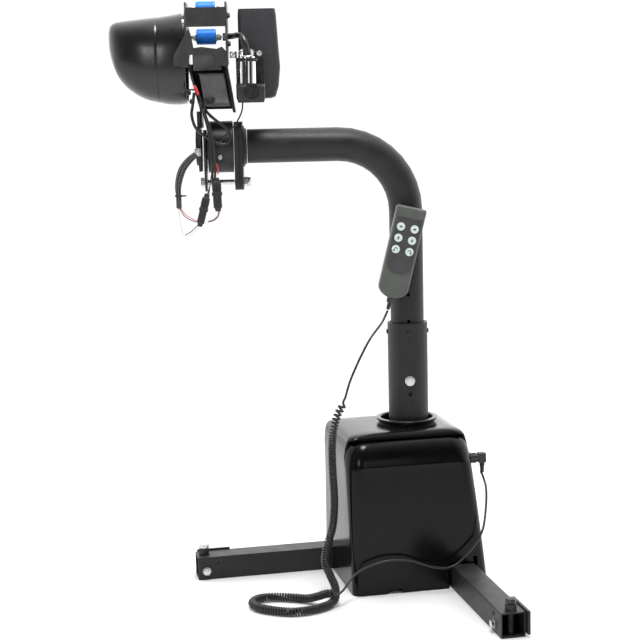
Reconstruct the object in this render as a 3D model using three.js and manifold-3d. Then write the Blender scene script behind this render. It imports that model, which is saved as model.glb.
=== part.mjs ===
// Powered pedestal machine: L-shaped floor base, turning post, bent tube arm and a tilting roller head.
// Millimetres, +Z up. The origin is on the floor under the post axis; the arm reaches out along -X.
import * as THREE from 'three';
import { mergeVertices } from 'three/addons/utils/BufferGeometryUtils.js';
import Module from 'manifold-3d';

const wasm = await Module();
wasm.setup();

// ---- driving dimensions -------------------------------------------------------------------------
const GAP = 0.3; // running gap between neighbouring pieces
const BASE_YAW = 10; // degrees the base is turned from the arm's resting direction
const LEG = 44.45; // square leg tube
const LEG_WALL = 3;
const LEG_OFFSET = 42.6; // inner face of each leg from the post axis
const LEG_REACH = 412; // leg tip from the post axis
const PLATE_T = 8; // base plate
const SLEEVE_R = 38.1; // turning outer post, 76.2 mm tube
const SLEEVE_BORE = 33;
const SLEEVE_TOP = 490;
const MAST_R = 31.75; // inner post and arm, 63.5 mm tube
const MAST_WALL = 3.5;
const MAST_FOOT = 330;
const ARM_Z = 830; // arm centreline height
const TILT_Z = 830; // tilt axis, as the pieces on the arm's end are drawn; they stand at the arm's height
const BEND_R = 127; // arm bend, two tube diameters
const ARM_END = 296; // weld end of the arm
const BOLT_Z = 381; // height bolt
const HOLE_PITCH = 25.4;
const COVER_H = 296; // crown of the base cover's deck
const PANEL_TOP = 284.5; // top of the front panel, under the deck's lip
const COVER_T = 3;
const RING_BORE = 50;
const PLATE_X = 304; // outer face of the arm flange
const DRUM_R = 48; // tilt gear drum
const DRUM_X0 = 322.3;
const DRUM_X1 = 368.7;
const ROLLER_R = 14.5;
const ROLLER_Z = 1033;
const UPPER_ROLLER_Z = 1083;
const BAY_X0 = 404; // outer faces of the roller bay
const BAY_X1 = 326;
const CHROME_R = 16.5;
const CHROME_X = 291.5;
const HANDSET = { x: -14, y: -49.5, z: 627, lean: 14, w: 57, h: 174, t: 25 };
const CORD_LEAD_D = 4.4;
const CORD_COIL_D = 16;

// ---- finishes -----------------------------------------------------------------------------------
const finish = (name, color, roughness, metalness) =>
  new THREE.MeshStandardMaterial({ name, color, roughness, metalness });
const COAT = () => finish('satin black powder coat', 0x2a2a2c, 0.45, 0.1);
const GLOSS = () => finish('gloss black moulding', 0x141416, 0.2, 0);
const PLASTIC = () => finish('matte black plastic', 0x2b2b2e, 0.55, 0);
const ZINC = () => finish('zinc plated steel', 0xc4c8c2, 0.35, 0.9);
const STEEL = () => finish('grey coated sheet', 0x77797c, 0.45, 0.3);
const CAST = () => finish('black oxide casting', 0x1c1c1e, 0.5, 0.4);
const CHROME = () => finish('chrome plate', 0xd9dbdd, 0.12, 1);
const BLUE = () => finish('blue urethane', 0x1c66cf, 0.5, 0);
const RUBBER = () => finish('black cord jacket', 0x161617, 0.5, 0);
const SHELL = () => finish('olive grey handset shell', 0x55584f, 0.5, 0);
const PANEL = () => finish('dark keypad overlay', 0x3c3c42, 0.45, 0);
const KEY = () => finish('pale silicone key', 0xcddcd2, 0.5, 0);

// ---- solids -------------------------------------------------------------------------------------
function solid(geo) {
  const g = geo.clone();
  g.deleteAttribute('normal');
  g.deleteAttribute('uv');
  const m = mergeVertices(g, 1e-4);
  return new wasm.Manifold(new wasm.Mesh({
    numProp: 3,
    vertProperties: new Float32Array(m.attributes.position.array),
    triVerts: new Uint32Array(m.index.array),
  }));
}

function surface(man) {
  const me = man.getMesh();
  const g = new THREE.BufferGeometry();
  g.setAttribute('position', new THREE.BufferAttribute(new Float32Array(me.vertProperties), 3));
  g.setIndex(new THREE.BufferAttribute(new Uint32Array(me.triVerts), 1));
  const flat = g.toNonIndexed();
  flat.computeVertexNormals();
  return flat;
}

const join = (...parts) => parts.reduce((a, b) => a.add(b));
const cut = (body, ...tools) => tools.reduce((a, b) => a.subtract(b), body);

function piece(name, body, material) {
  const mesh = new THREE.Mesh(body.isBufferGeometry ? body : surface(body), material);
  mesh.name = name;
  return mesh;
}

// box given by its six faces
function block(x0, x1, y0, y1, z0, z1) {
  return solid(new THREE.BoxGeometry(x1 - x0, y1 - y0, z1 - z0)
    .translate((x0 + x1) / 2, (y0 + y1) / 2, (z0 + z1) / 2));
}

// cylinder along x, y or z from one end to the other
function rod(axis, r, a, b, u, v, n = 32, r2 = r) {
  const g = new THREE.CylinderGeometry(r2, r, b - a, n).translate(0, (a + b) / 2, 0);
  if (axis === 'z') return solid(g.rotateX(Math.PI / 2).translate(u, v, 0));
  if (axis === 'x') return solid(g.rotateZ(-Math.PI / 2).translate(0, u, v));
  return solid(g.translate(u, 0, v));
}

const pipe = (axis, r, bore, a, b, u, v, n = 48) =>
  cut(rod(axis, r, a, b, u, v, n), rod(axis, bore, a - 1, b + 1, u, v, n));

// hexagon along an axis, width across flats
const hex = (axis, flats, a, b, u, v) => rod(axis, flats / Math.sqrt(3), a, b, u, v, 6);

// rounded rectangle outline, counter-clockwise
function roundRect(x0, x1, y0, y1, r, n = 5) {
  const pts = [];
  const arcs = [[x1 - r, y1 - r, 0], [x0 + r, y1 - r, 90], [x0 + r, y0 + r, 180], [x1 - r, y0 + r, 270]];
  for (const [cx, cy, a0] of arcs) {
    for (let i = 0; i <= n; i++) {
      const a = ((a0 + (90 * i) / n) * Math.PI) / 180;
      pts.push([cx + r * Math.cos(a), cy + r * Math.sin(a)]);
    }
  }
  return pts;
}

// flat profile extruded along z, then stood up: the profile's own x,y become the named axes
function slabOf(points, depth, axes = 'xy', at = 0, holes = []) {
  const s = new THREE.Shape(points.map(([x, y]) => new THREE.Vector2(x, y)));
  for (const [hx, hy, hr] of holes) {
    const h = new THREE.Path();
    h.absarc(hx, hy, hr, 0, Math.PI * 2, true);
    s.holes.push(h);
  }
  const g = new THREE.ExtrudeGeometry(s, { depth, bevelEnabled: false, curveSegments: 12 });
  if (axes === 'yz') g.rotateX(Math.PI / 2).rotateZ(Math.PI / 2).translate(at, 0, 0);
  else if (axes === 'xz') g.rotateX(Math.PI / 2).translate(0, at + depth, 0);
  else g.translate(0, 0, at);
  return solid(g);
}

// closed skin through a stack of outlines that all have the same number of points
function loft(rings) {
  const n = rings[0].length;
  const pos = [];
  const idx = [];
  rings.forEach((ring) => ring.forEach((p) => pos.push(...p)));
  for (let k = 0; k + 1 < rings.length; k++) {
    for (let i = 0; i < n; i++) {
      const a = k * n + i;
      const b = k * n + ((i + 1) % n);
      idx.push(a, b, b + n, a, b + n, a + n);
    }
  }
  const last = (rings.length - 1) * n;
  for (let i = 1; i + 1 < n; i++) {
    idx.push(0, i + 1, i);
    idx.push(last, last + i, last + i + 1);
  }
  const g = new THREE.BufferGeometry();
  g.setAttribute('position', new THREE.Float32BufferAttribute(pos, 3));
  g.setIndex(idx);
  return solid(g);
}

// loft of rounded rectangles, one row per height: z, x0, x1, y0, y1, corner radius
const tower = (rows, grow = 0, n = 5) =>
  loft(rows.map(([z, x0, x1, y0, y1, r]) =>
    roundRect(x0 - grow, x1 + grow, y0 - grow, y1 + grow, Math.max(r + grow, 1), n)
      .map(([x, y]) => [x, y, z])));

// lathe about z from [radius, z] pairs that start and end on the axis or close on themselves
const spun = (pairs, n = 40) =>
  solid(new THREE.LatheGeometry(pairs.map(([r, z]) => new THREE.Vector2(r, z)), n).rotateX(Math.PI / 2));

// round cord along hand-chosen route points
function cordTube(points, d, step, sides = 8) {
  const curve = new THREE.CatmullRomCurve3(points.map((p) => new THREE.Vector3(...p)), false, 'centripetal');
  const steps = Math.min(80, Math.max(6, Math.round(curve.getLength() / step)));
  const ring = new THREE.Shape();
  for (let i = 0; i < sides; i++) {
    const a = (2 * Math.PI * i) / sides;
    if (i === 0) ring.moveTo((d / 2) * Math.cos(a), (d / 2) * Math.sin(a));
    else ring.lineTo((d / 2) * Math.cos(a), (d / 2) * Math.sin(a));
  }
  ring.closePath();
  return solid(new THREE.ExtrudeGeometry(ring, { steps, extrudePath: curve, bevelEnabled: false }));
}

// ---- base ---------------------------------------------------------------------------------------
// square tube lying along the floor from its tip to its root
function legTube(u0, u1, v0, along) {
  const e = LEG_WALL;
  const v1 = v0 + LEG;
  if (along === 'x') {
    return cut(block(u0, u1, v0, v1, 0, LEG), block(u0 - 1, u1 + 1, v0 + e, v1 - e, e, LEG - e));
  }
  return cut(block(v0, v1, u0, u1, 0, LEG), block(v0 + e, v1 - e, u0 - 1, u1 + 1, e, LEG - e));
}

function legLeft() {
  const mid = LEG_OFFSET + LEG / 2;
  return cut(legTube(-LEG_REACH, LEG_OFFSET - GAP, LEG_OFFSET, 'x'),
    rod('z', 5.4, -1, LEG + 1, -398, mid, 20),
    rod('y', 3.2, LEG_OFFSET - 1, LEG_OFFSET + 5, -374, 32, 16));
}

function legFront() {
  const mid = LEG_OFFSET + LEG / 2;
  return cut(legTube(-LEG_REACH, LEG_OFFSET + LEG, LEG_OFFSET, 'y'),
    rod('z', 5.4, -1, LEG + 1, mid, -398, 20),
    rod('x', 3.2, LEG_OFFSET - 1, LEG_OFFSET + 5, -368, 30, 16));
}

// hidden L of the same tube that closes the frame into a square under the plate, with a sole sheet under the post
function frameCross() {
  const a = -LEG_OFFSET - LEG;
  const outer = join(block(a, LEG_OFFSET - GAP, a, a + LEG, 0, LEG), block(a, a + LEG, a, LEG_OFFSET - GAP, 0, LEG));
  const w = LEG_WALL;
  const inner = join(block(a + w, LEG_OFFSET + 1, a + w, a + LEG - w, w, LEG - w),
    block(a + w, a + LEG - w, a + w, LEG_OFFSET + 1, w, LEG - w));
  return join(cut(outer, inner), block(-LEG_OFFSET - 1, LEG_OFFSET - GAP, -LEG_OFFSET - 1, LEG_OFFSET - GAP, 0, 3));
}

// stiffening strip on the outer side of a leg tip
const tipStripLeft = () => cut(block(-408, -344, LEG_OFFSET + LEG + GAP, LEG_OFFSET + LEG + 5.3, 6, LEG + 3),
  rod('y', 4, 80, 100, -398, 24, 16));
const tipStripFront = () => cut(block(LEG_OFFSET + LEG + GAP, LEG_OFFSET + LEG + 5.3, -420, -340, 6, LEG + 3),
  rod('x', 4, 80, 100, -404, 24, 16));

// levelling bolt through a leg tip: shank, washer, lock nut and hexagon head in one turned piece
const jackBolt = (x, y) => join(rod('z', 4.9, 1, LEG + 17, x, y, 12), rod('z', 11, LEG + GAP, LEG + 2.3, x, y, 18),
  hex('z', 17, LEG + 2, LEG + 9, x, y), hex('z', 15, LEG + 15, LEG + 22, x, y));

function basePlate() {
  const z0 = LEG + GAP;
  const body = slabOf(roundRect(-128, 97, -112, 104, 8, 3), PLATE_T, 'xy', z0, [[0, 0, 30]]);
  return body;
}

const PLATE_TOP = LEG + GAP + PLATE_T;

// worm-driven turntable, fixed half: round housing with the worm tunnel on its front
function slewHousing() {
  const z0 = PLATE_TOP + GAP;
  const body = join(rod('z', 66, z0, z0 + 40, 0, 0, 36), rod('x', 19, -62, 58, -62, z0 + 20, 18));
  return cut(body, rod('z', 30, z0 - 1, z0 + 41, 0, 0, 24));
}

// rotate motor on the end of the worm tunnel, along x
function rotateMotor() {
  const z = PLATE_TOP + GAP + 20;
  return join(rod('x', 19.5, -122, -74, -62, z, 20), rod('x', 15, -128, -121, -62, z, 16),
    block(-75, -62.3, -82, -42, z - 19.5, z + 19));
}

function controlBox() {
  const z0 = PLATE_TOP + GAP;
  const body = block(-95, 30, 76, 102, z0, z0 + 120);
  const ribs = [];
  for (let i = 0; i < 6; i++) ribs.push(block(-85 + 19 * i, -79 + 19 * i, 70, 77, z0 + 15, z0 + 105));
  return join(body, ...ribs);
}

// outline rows of the base cover: z, x0, x1, y0, y1, corner radius
const COVER_ROWS = [
  [1, -147, 115, -137, 116, 16],
  [60, -147, 111, -134, 115, 20],
  [150, -148, 103, -128, 113, 26],
  [225, -149, 95, -122, 111, 30],
];
const PANEL_ROWS = [
  ...COVER_ROWS,
  [240, -149, 93.5, -121, 110, 33],
  [254, -148, 91.5, -117, 109, 34],
  [266, -146, 89, -111, 108, 34],
  [276, -142, 85, -103, 106, 33],
  [281.5, -137, 80.5, -95, 104, 32],
  [PANEL_TOP, -131, 75, -88, 101, 30],
];
const DECK_ROWS = [
  ...COVER_ROWS,
  [250, -149, 92, -114, 110, 26],
  [262, -148, 90, -110, 108, 24],
  [270, -147, 88, -106, 106, 20],
  [277, -145, 86, -102, 104, 16],
  [283, -143, 84, -98, 100, 14],
  [288, -140, 81, -95, 94, 14],
  [291.5, -134, 76, -92, 86, 16],
  [294, -122, 69, -89, 78, 20],
  [295.4, -108, 62, -85, 70, 24],
  [COVER_H, -94, 56, -80, 62, 28],
];

const inward = (rows) => [
  [rows[0][0] - 2, ...rows[0].slice(1)],
  ...rows.slice(0, 4),
  ...rows.slice(4).map((r) => [r[0] - COVER_T, ...r.slice(1)]),
];

const SPLIT_Y = -86; // seam between the front panel and the rest of the cover

// main moulding: deck, sides and back, open in front and below
function coverShell() {
  const body = cut(tower(DECK_ROWS), tower(inward(DECK_ROWS), -COVER_T));
  const legSlot1 = block(-200, -60, LEG_OFFSET - 4, LEG_OFFSET + LEG + 8, -5, LEG + 14);
  const slot2 = block(LEG_OFFSET - 4, LEG_OFFSET + LEG + 4, -200, -60, -5, LEG + 6);
  return cut(body, block(-300, 300, -300, SPLIT_Y, -5, PANEL_TOP + GAP), legSlot1, slot2,
    rod('z', RING_BORE + 2, 250, 320, -4, 0, 56), rod('x', 8.4, 60, 130, -75, 232, 24));
}

// bulged front panel with its large soft shoulder
function coverFront() {
  const body = cut(tower(PANEL_ROWS), tower(inward(PANEL_ROWS), -COVER_T));
  const keep = block(-300, 300, -300, SPLIT_Y - GAP, -5, PANEL_TOP);
  const slot = block(LEG_OFFSET - 6, LEG_OFFSET + LEG + 6, -200, -60, -5, LEG + 4);
  const step = block(LEG_OFFSET + LEG - 2, LEG_OFFSET + LEG + 6, -200, -60, LEG, LEG + 14);
  return cut(body.intersect(keep), slot, step, block(-82, -54, -150, -120, -2, 8.5));
}

// collar round the post, standing on the deck
const collarRing = () => spun([[RING_BORE, 0], [54, 0], [54, 2.5], [57.5, 5], [59, 8.6], [58, 10],
  [51.5, 10], [RING_BORE, 8.6], [RING_BORE, 0]].map(([r, z]) => [r, z + COVER_H + GAP]), 44)
  .translate([-4, 0, 0]);

// round panel socket pushed through the right side of the cover
const panelSocket = () => join(rod('x', 8, 78, 96, -75, 232, 24), rod('x', 11, 97, 100, -75, 232, 24),
  rod('x', 8, 95, 98, -75, 232, 24));

// right-angle cord plug with knurled ring and ribbed relief
function cordPlug() {
  const y = -75;
  const z = 232;
  const ribs = [];
  for (let i = 0; i < 10; i++) {
    const a = (i * Math.PI) / 5;
    ribs.push(rod('x', 1.3, 101, 111, y + 8.5 * Math.cos(a), z + 8.5 * Math.sin(a), 4));
  }
  const parts = [rod('x', 8.6, 100.6, 111.5, y, z, 20), rod('x', 6.5, 111, 116, y, z, 12),
    block(115, 129, y - 7, y + 7, z - 9, z + 9), rod('z', 5, z - 16, z - 8, 123, y, 12)];
  for (let i = 0; i < 3; i++) parts.push(rod('z', 4.6 - 0.4 * i, z - 20 - 4 * i, z - 18 - 4 * i, 123, y, 12));
  parts.push(rod('z', 3.6, z - 29, z - 15, 123, y, 12));
  return join(...parts, ...ribs);
}

// ---- turning post -------------------------------------------------------------------------------
const TURN_Z = PLATE_TOP + GAP + 40 + GAP;

// turntable half that turns, with the post's weld spigot
const turntable = () => cut(join(rod('z', 60, TURN_Z, TURN_Z + 10, 0, 0, 32), rod('z', 32.4, TURN_Z + 9, TURN_Z + 30, 0, 0, 40)),
  rod('z', 24, TURN_Z - 1, TURN_Z + 31, 0, 0, 20));

function sleevePost() {
  const z0 = TURN_Z + 10 + GAP;
  let body = cut(rod('z', SLEEVE_R, z0, SLEEVE_TOP, 0, 0, 40), rod('z', SLEEVE_BORE, z0 - 1, SLEEVE_TOP + 1, 0, 0, 40));
  body = cut(body, rod('y', 4.6, -60, -20, 0, BOLT_Z, 20), rod('y', 4.2, -60, -20, 0, BOLT_Z - HOLE_PITCH, 20));
  for (let i = 0; i < 4; i++) {
    const c = rod('y', 4.4, -50, -25, 0, SLEEVE_TOP - 18, 18);
    body = body.subtract(c.rotate([0, 0, 90 * i]));
  }
  return body;
}

// hexagon bolt with washer that locks the mast height
const heightBolt = () => join(rod('y', 4.2, -SLEEVE_R - 3.9, -(MAST_R + 0.6), 0, BOLT_Z, 16),
  rod('y', 9.5, -SLEEVE_R - 2.2, -SLEEVE_R - 0.2, 0, BOLT_Z, 24),
  hex('y', 14, -SLEEVE_R - 8, -SLEEVE_R - 2, 0, BOLT_Z)).translate([0, -0.2, 0]);

// ---- mast and arm -------------------------------------------------------------------------------
function mastTube() {
  const path = new THREE.CurvePath();
  const zBend = ARM_Z - BEND_R;
  path.add(new THREE.LineCurve3(new THREE.Vector3(0, 0, MAST_FOOT), new THREE.Vector3(0, 0, zBend)));
  const outer = (r) => {
    const up = rod('z', r, r < MAST_R ? MAST_FOOT - 1 : MAST_FOOT, zBend + 0.05, 0, 0, 24);
    const along = rod('x', r, r < MAST_R ? -ARM_END - 1 : -ARM_END, -BEND_R + 0.05, 0, ARM_Z, 24);
    const ring = new THREE.Shape();
    ring.absarc(0, 0, r, 0, Math.PI * 2, false);
    class Quarter extends THREE.Curve {
      getPoint(t, target = new THREE.Vector3()) {
        const a = (t * Math.PI) / 2;
        return target.set(-BEND_R + BEND_R * Math.cos(a), 0, zBend + BEND_R * Math.sin(a));
      }
    }
    const bend = solid(new THREE.ExtrudeGeometry(ring, {
      steps: 9, curveSegments: 12, extrudePath: new Quarter(), bevelEnabled: false,
    }));
    return join(up, bend, along);
  };
  let body = cut(outer(MAST_R), outer(MAST_R - MAST_WALL));
  for (let i = 0; i < 4; i++) {
    const z = SLEEVE_TOP + 4 + (i - 1) * 2 * HOLE_PITCH;
    if (Math.abs(z - BOLT_Z) > 8) body = body.subtract(rod('y', 3.4, -40, -20, 0, z, 16));
  }
  return body;
}

// plate profile shared by the arm flange and the head mount, long below for the cage bolt
const flangeOutline = () => roundRect(-46, 46, 750, 876, 14, 4);

const armFlange = () => join(
  slabOf(flangeOutline(), 6.6, 'yz', -PLATE_X - 6.6, [[0, 764, 5.4]]),
  rod('x', MAST_R + 5, -PLATE_X - 0.2, -ARM_END - 1.2, 0, TILT_Z, 40, MAST_R + 0.6));
const headMount = () => slabOf(flangeOutline(), 9, 'yz', -PLATE_X - 6.9 - 9, [[0, 764, 5.4]]);

// tilt gear drum, axis along the arm
function tiltDrum() {
  const body = join(rod('x', DRUM_R, -DRUM_X1, -DRUM_X0, 0, TILT_Z, 36),
    rod('x', 24, -DRUM_X1 - 3, -DRUM_X1 + 1, 0, TILT_Z, 20));
  return cut(body, rod('y', 6, -60, -38, -346, 812, 20));
}

// fixed cage plate left of the drum, tapering down to the bolt
function cagePlate() {
  const pts = [[-20, 748], [20, 748], [42, 790], [46, 830], [40, 862], [-40, 862], [-46, 830], [-42, 790]];
  return slabOf(pts, 4, 'yz', -376.2, [[0, 764, 5.4], [0, TILT_Z, 27]]);
}

const cageBolt = () => join(rod('x', 4.9, -384, -299, 0, 764, 20), hex('x', 16, -PLATE_X + GAP, -297, 0, 764),
  hex('x', 16, -385, -376.6, 0, 764));

// ---- handset ------------------------------------------------------------------------------------
// parts are drawn upright about the handset's own centre and leaned afterwards
const lean = (man) => man.rotate([0, HANDSET.lean, 0]).translate([HANDSET.x, HANDSET.y, HANDSET.z]);

function handsetOutline(grow) {
  const w = HANDSET.w / 2 + grow;
  const h = HANDSET.h / 2 + grow;
  const pts = [];
  const bottom = 22 + grow;
  for (let i = 0; i <= 8; i++) {
    const a = Math.PI + (i * Math.PI) / 8;
    pts.push([(w - 6) * Math.cos(a), -h + bottom + bottom * Math.sin(a)]);
  }
  pts.push([w, -10], [w, h - 4], [w - 1.2, h - 1.2], [w - 4, h], [-w + 4, h], [-w + 1.2, h - 1.2], [-w, h - 4], [-w, -10]);
  return pts;
}

const handsetLayer = (grow, y0, y1) => slabOf(handsetOutline(grow), y1 - y0, 'xz', y0);
const handsetBack = () => lean(join(handsetLayer(0, 0, 9), handsetLayer(-4, 8.5, 12.5)));
const handsetFront = () => {
  let b = join(handsetLayer(0, -9, -GAP), handsetLayer(-2, -11.5, -8.5));
  b = cut(b, slabOf(keypadOutline(0.4), 3, 'xz', -14));
  keyPlaces().forEach(([x, z]) => { b = b.subtract(rod('y', 7.2, -16, -6, x, z, 16)); });
  return lean(b);
};

function keypadOutline(grow) {
  const w = 25 + grow;
  const pts = [];
  for (let i = 0; i <= 8; i++) {
    const a = Math.PI + (i * Math.PI) / 8;
    pts.push([w * Math.cos(a), -20 - grow + 20 * Math.sin(a)]);
  }
  pts.push([w, 66 + grow], [-w, 66 + grow]);
  return pts;
}

function keyPlaces() {
  const out = [];
  for (let row = 0; row < 3; row++) for (let col = 0; col < 2; col++) out.push([-13 + 26 * col, 48 - 21.5 * row]);
  return out;
}

function keypadPanel() {
  let b = slabOf(keypadOutline(0), 1.6, 'xz', -12.8);
  keyPlaces().forEach(([x, z]) => { b = b.subtract(rod('y', 8.4, -16, -6, x, z, 16)); });
  return lean(b);
}

const KEY_NAMES = ['retract', 'extend', 'up', 'down', 'rotate_left', 'rotate_right'];
const key = ([x, z]) => lean(join(rod('y', 6.8, -14, -9.2, x, z, 16), rod('y', 7.6, -14.6, -13.1, x, z, 16)));

const strainRelief = () => {
  const parts = [rod('z', 6, -96.3, -87.3, 0, 3, 12, 7)];
  for (let i = 0; i < 3; i++) parts.push(rod('z', 4.8 - 0.5 * i, -101 - 4 * i, -99 - 4 * i, 0, 3, 10));
  parts.push(rod('z', 3.4, -110, -95, 0, 3, 10));
  return lean(join(...parts));
};

// spring clip that holds the handset against the mast
function handsetClip() {
  const band = cut(pipe('z', MAST_R + 3, MAST_R + GAP, 612, 640, 0, 0, 48), block(-60, 60, 2, 60, 600, 650),
    block(8, 60, -60, 60, 600, 650));
  return join(band, block(-24, -2, HANDSET.y + HANDSET.t / 2 + 0.4, -MAST_R - 0.15, 612, 640).subtract(rod('z', MAST_R + GAP, 600, 650, 0, 0, 48)));
}

// ---- cord ---------------------------------------------------------------------------------------
const LEAD_TOP = [[-41.2, -46.5, 518], [-52, -58, 499], [-80, -88, 468], [-117, -120, 402], [-129, -136, 370]];
const COIL = [[-143, -140, 342], [-152, -141, 312], [-155, -141, 283], [-155, -139, 238], [-153, -138, 177],
  [-157, -138, 131], [-166, -141, 100], [-173, -148, 68], [-165, -161, 46], [-156, -180, 27], [-157, -197, 14],
  [-165, -213, 9.2], [-180, -230, 9], [-205, -244, 8.6], [-235, -250, 8.6], [-268, -240, 8.6], [-297, -221, 8.6],
  [-308, -195, 8.6], [-298, -174, 8.6], [-275, -166, 8.6], [-237, -172, 8.6], [-208, -184, 9.5],
  [-188, -196, 17], [-172, -206, 25], [-159, -212, 26]];
const LEAD_BASE = [[-151, -216, 24], [-143, -205, 28], [-128, -184, 42], [-105, -173, 57], [-60, -168, 70],
  [-18, -163, 68], [28, -158, 52], [62, -152, 50], [92, -141, 70], [121, -126, 104], [134, -97, 141],
  [139, -69, 178], [136.5, -56, 192], [134.3, -52.5, 199]];

// ---- wiring held by the head --------------------------------------------------------------------
const HARNESS_LOOP = [[-389, -58, 930], [-393, -58, 905], [-395, -60, 890], [-388, -62, 866], [-368, -64, 848],
  [-350, -64, 838], [-334, -62, 836], [-326, -60, 846], [-329, -60, 860], [-345, -61, 874], [-361, -62, 888],
  [-375, -60, 904], [-382, -58, 914]];
const HARNESS_DROP = [[-373, -70, 900], [-363, -72, 868], [-356, -71, 830], [-355, -68, 790], [-357, -66, 760]];
const HARNESS_SLEEVE = [[-384, -58, 822], [-402, -60, 808], [-416, -60, 790], [-424, -60, 762], [-424, -58, 738],
  [-424, -58, 720]];
const sleeveBraid = () => cordTube(HARNESS_SLEEVE, 13, 18, 12);

// in-line connector hanging from the wiring
const harnessDrop = () => join(cordTube(HARNESS_DROP, 5, 12), rod('z', 10, 748, 766, -357, -66, 20), rod('z', 7.6, 700, 749, -357, -66, 12),
  rod('z', 5.5, 696, 701, -357, -66, 12));

// ---- head ---------------------------------------------------------------------------------------
// tilt output plate that carries the head
function tiltPlate() {
  const pts = [[-26, 785], [26, 785], [42, 802], [46, 830], [46, 896], [-50, 896], [-46, 830], [-42, 802]];
  return join(slabOf(pts, 5, 'yz', -386.2, [[0, TILT_Z, 30]]), rod('x', 34, -391, -385.5, 0, TILT_Z, 36));
}

// leaning channel between the tilt plate and the roller bay
function neckChannel() {
  const back = slabOf([[-380, 900], [-318, 900], [-331, 984], [-401, 984]], 4, 'xz', 20);
  const left = loft([[866, -380.9], [900, -380.9], [984, -402]].map(([z, x]) =>
    [[x, -40, z], [x + 4, -40, z], [x + 4, 24, z], [x, 24, z]]));
  const right = loft([[893, -320], [984, -334]].map(([z, x]) =>
    [[x, -40, z], [x + 5, -40, z], [x + 5, 24, z], [x, 24, z]]));
  return join(back, left, right);
}

// grey folded cover over the neck, rounded under
function neckCover() {
  const prof = (grow) => [[-50 + grow, 915 + grow], [-46 + grow, 907 + grow], [-38, 903 + grow], [-20, 902 + grow],
    [-20, 962 - grow], [-44 + grow, 962 - grow], [-50 + grow, 956 - grow]];
  const body = slabOf(prof(0), 46, 'yz', -374.6);
  const sheared = body.warp((v) => { v[0] += -0.16 * (v[2] - 932); v[1] -= 8; });
  return cut(sheared, rod('y', 3.5, -62, -52, -351, 917, 16));
}

const sidePlate = (x) => slabOf(roundRect(-34, 70, 984.6, 1095, 6, 2), 4, 'yz', x, [[0, 1012, 4]]);
const sideLeft = () => cut(sidePlate(-BAY_X0), block(-410, -390, -8, 8, 1000, 1100));
const sideRight = () => cut(sidePlate(-BAY_X1 - 4), block(-335, -320, -8, 8, 1000, 1100));
const frontPlate = () => slabOf(roundRect(-402, -326.5, 1049, 1084, 2, 2), 4, 'xz', -39.3);

// grey guide bracket below the roller, with a kicked-out left foot
function saddle() {
  const pts = [[-396, 1046], [-399, 1040], [-424, 998], [-426, 978], [-398, 976], [-396, 998], [-372, 1000],
    [-350, 998], [-348, 978], [-325, 976], [-326, 1000], [-336, 1012], [-346, 1008], [-374, 1012], [-388, 1010],
    [-392, 1034]];
  return slabOf(pts, 12, 'xz', -57);
}

const roller = (z, half) => join(rod('x', ROLLER_R, -366 - half, -366 + half, 0, z, 28),
  rod('x', 9, -369 - half, -363 + half, 0, z, 14), rod('x', 4, -395, -337, 0, z, 12));

// cross rod that carries the roller and turns down into the chrome tube
function bentRod() {
  const c = [[-333, 0, ROLLER_Z], [-322, 0, ROLLER_Z], [-315, -9, ROLLER_Z], [-307.5, -28, ROLLER_Z], [-299, -45, 1029],
    [-292.5, -54, 1012], [CHROME_X * -1, -55, 994], [CHROME_X * -1, -55, 966]];
  return join(cordTube(c, 11, 9, 12), rod('x', 9.5, -336, -331.5, 0, ROLLER_Z, 16));
}

const chromeTube = () => cut(rod('z', CHROME_R, 944, 984, -CHROME_X, -55, 40), rod('z', 8.5, 950, 985, -CHROME_X, -55, 28));

// black band and cup round the mouth of the chrome tube, with clamp ears
function tubeClamp() {
  const cup = cut(join(rod('z', 19.5, 984.3, 1003, -CHROME_X, -55, 28),
    block(-CHROME_X - 30, -CHROME_X - 16, -61, -49, 990, 1002), block(-CHROME_X + 16, -CHROME_X + 28, -61, -49, 992, 1002)),
  rod('z', 14.5, 990, 1004, -CHROME_X, -55, 24), rod('z', 8.5, 980, 1004, -CHROME_X, -55, 20));
  return cup;
}

// actuator gear block under the chrome tube with a round boss in front
function actuatorBlock() {
  const body = tower([[910, -309, -262, -74, -22, 6], [918, -312, -260, -80, -20, 6], [938, -312, -260, -84, -20, 6],
    [942, -312, -260, -78, -20, 6], [943.7, -312, -260, -78, -20, 6]], 0, 3);
  const riser = cut(block(-312, -260, -34.6, -20, 943, 992));
  return join(body, riser, rod('y', 15, -88, -77, -284, 929, 32), rod('y', 9, -91, -87, -284, 929, 24));
}

// slab-sided cover over the actuator drive
function slabCover() {
  const rows = [[919, -290, -248], [922, -301, -240], [940, -307, -234], [975, -307, -230.5], [1000, -307, -232],
    [1070, -307, -236], [1082, -306, -238]];
  const skin = (grow, list) => loft(list.map(([z, x0, x1]) =>
    roundRect(x0 - grow, x1 + grow, -12 - grow, 84 + grow, 8, 3).map(([x, y]) => [x, y, z])));
  return cut(skin(0, rows), skin(-3, [[922, -296, -244], ...rows.slice(2, -1), [1079, -306, -238]]),
    block(-310, -300, 24, 70, 935, 1070));
}

// bulb-shaped motor cowl on the left, in two mouldings split by an upright seam
function cowlRings(xs, grow = 0) {
  return xs.map(([x, z0, z1, half]) => {
    const cy = 24;
    const pts = [];
    const n = 20;
    const cz = (z0 + z1) / 2;
    const rz = (z1 - z0) / 2 + grow;
    const ry = half + grow;
    for (let i = 0; i < n; i++) {
      const a = (2 * Math.PI * i) / n;
      const s = Math.sin(a);
      const c = Math.cos(a);
      const k = 1 / Math.pow(Math.pow(Math.abs(c), 2.6) + Math.pow(Math.abs(s), 2.6), 1 / 2.6);
      pts.push([x, cy + ry * k * c, cz + rz * k * s]);
    }
    return pts;
  });
}

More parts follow.
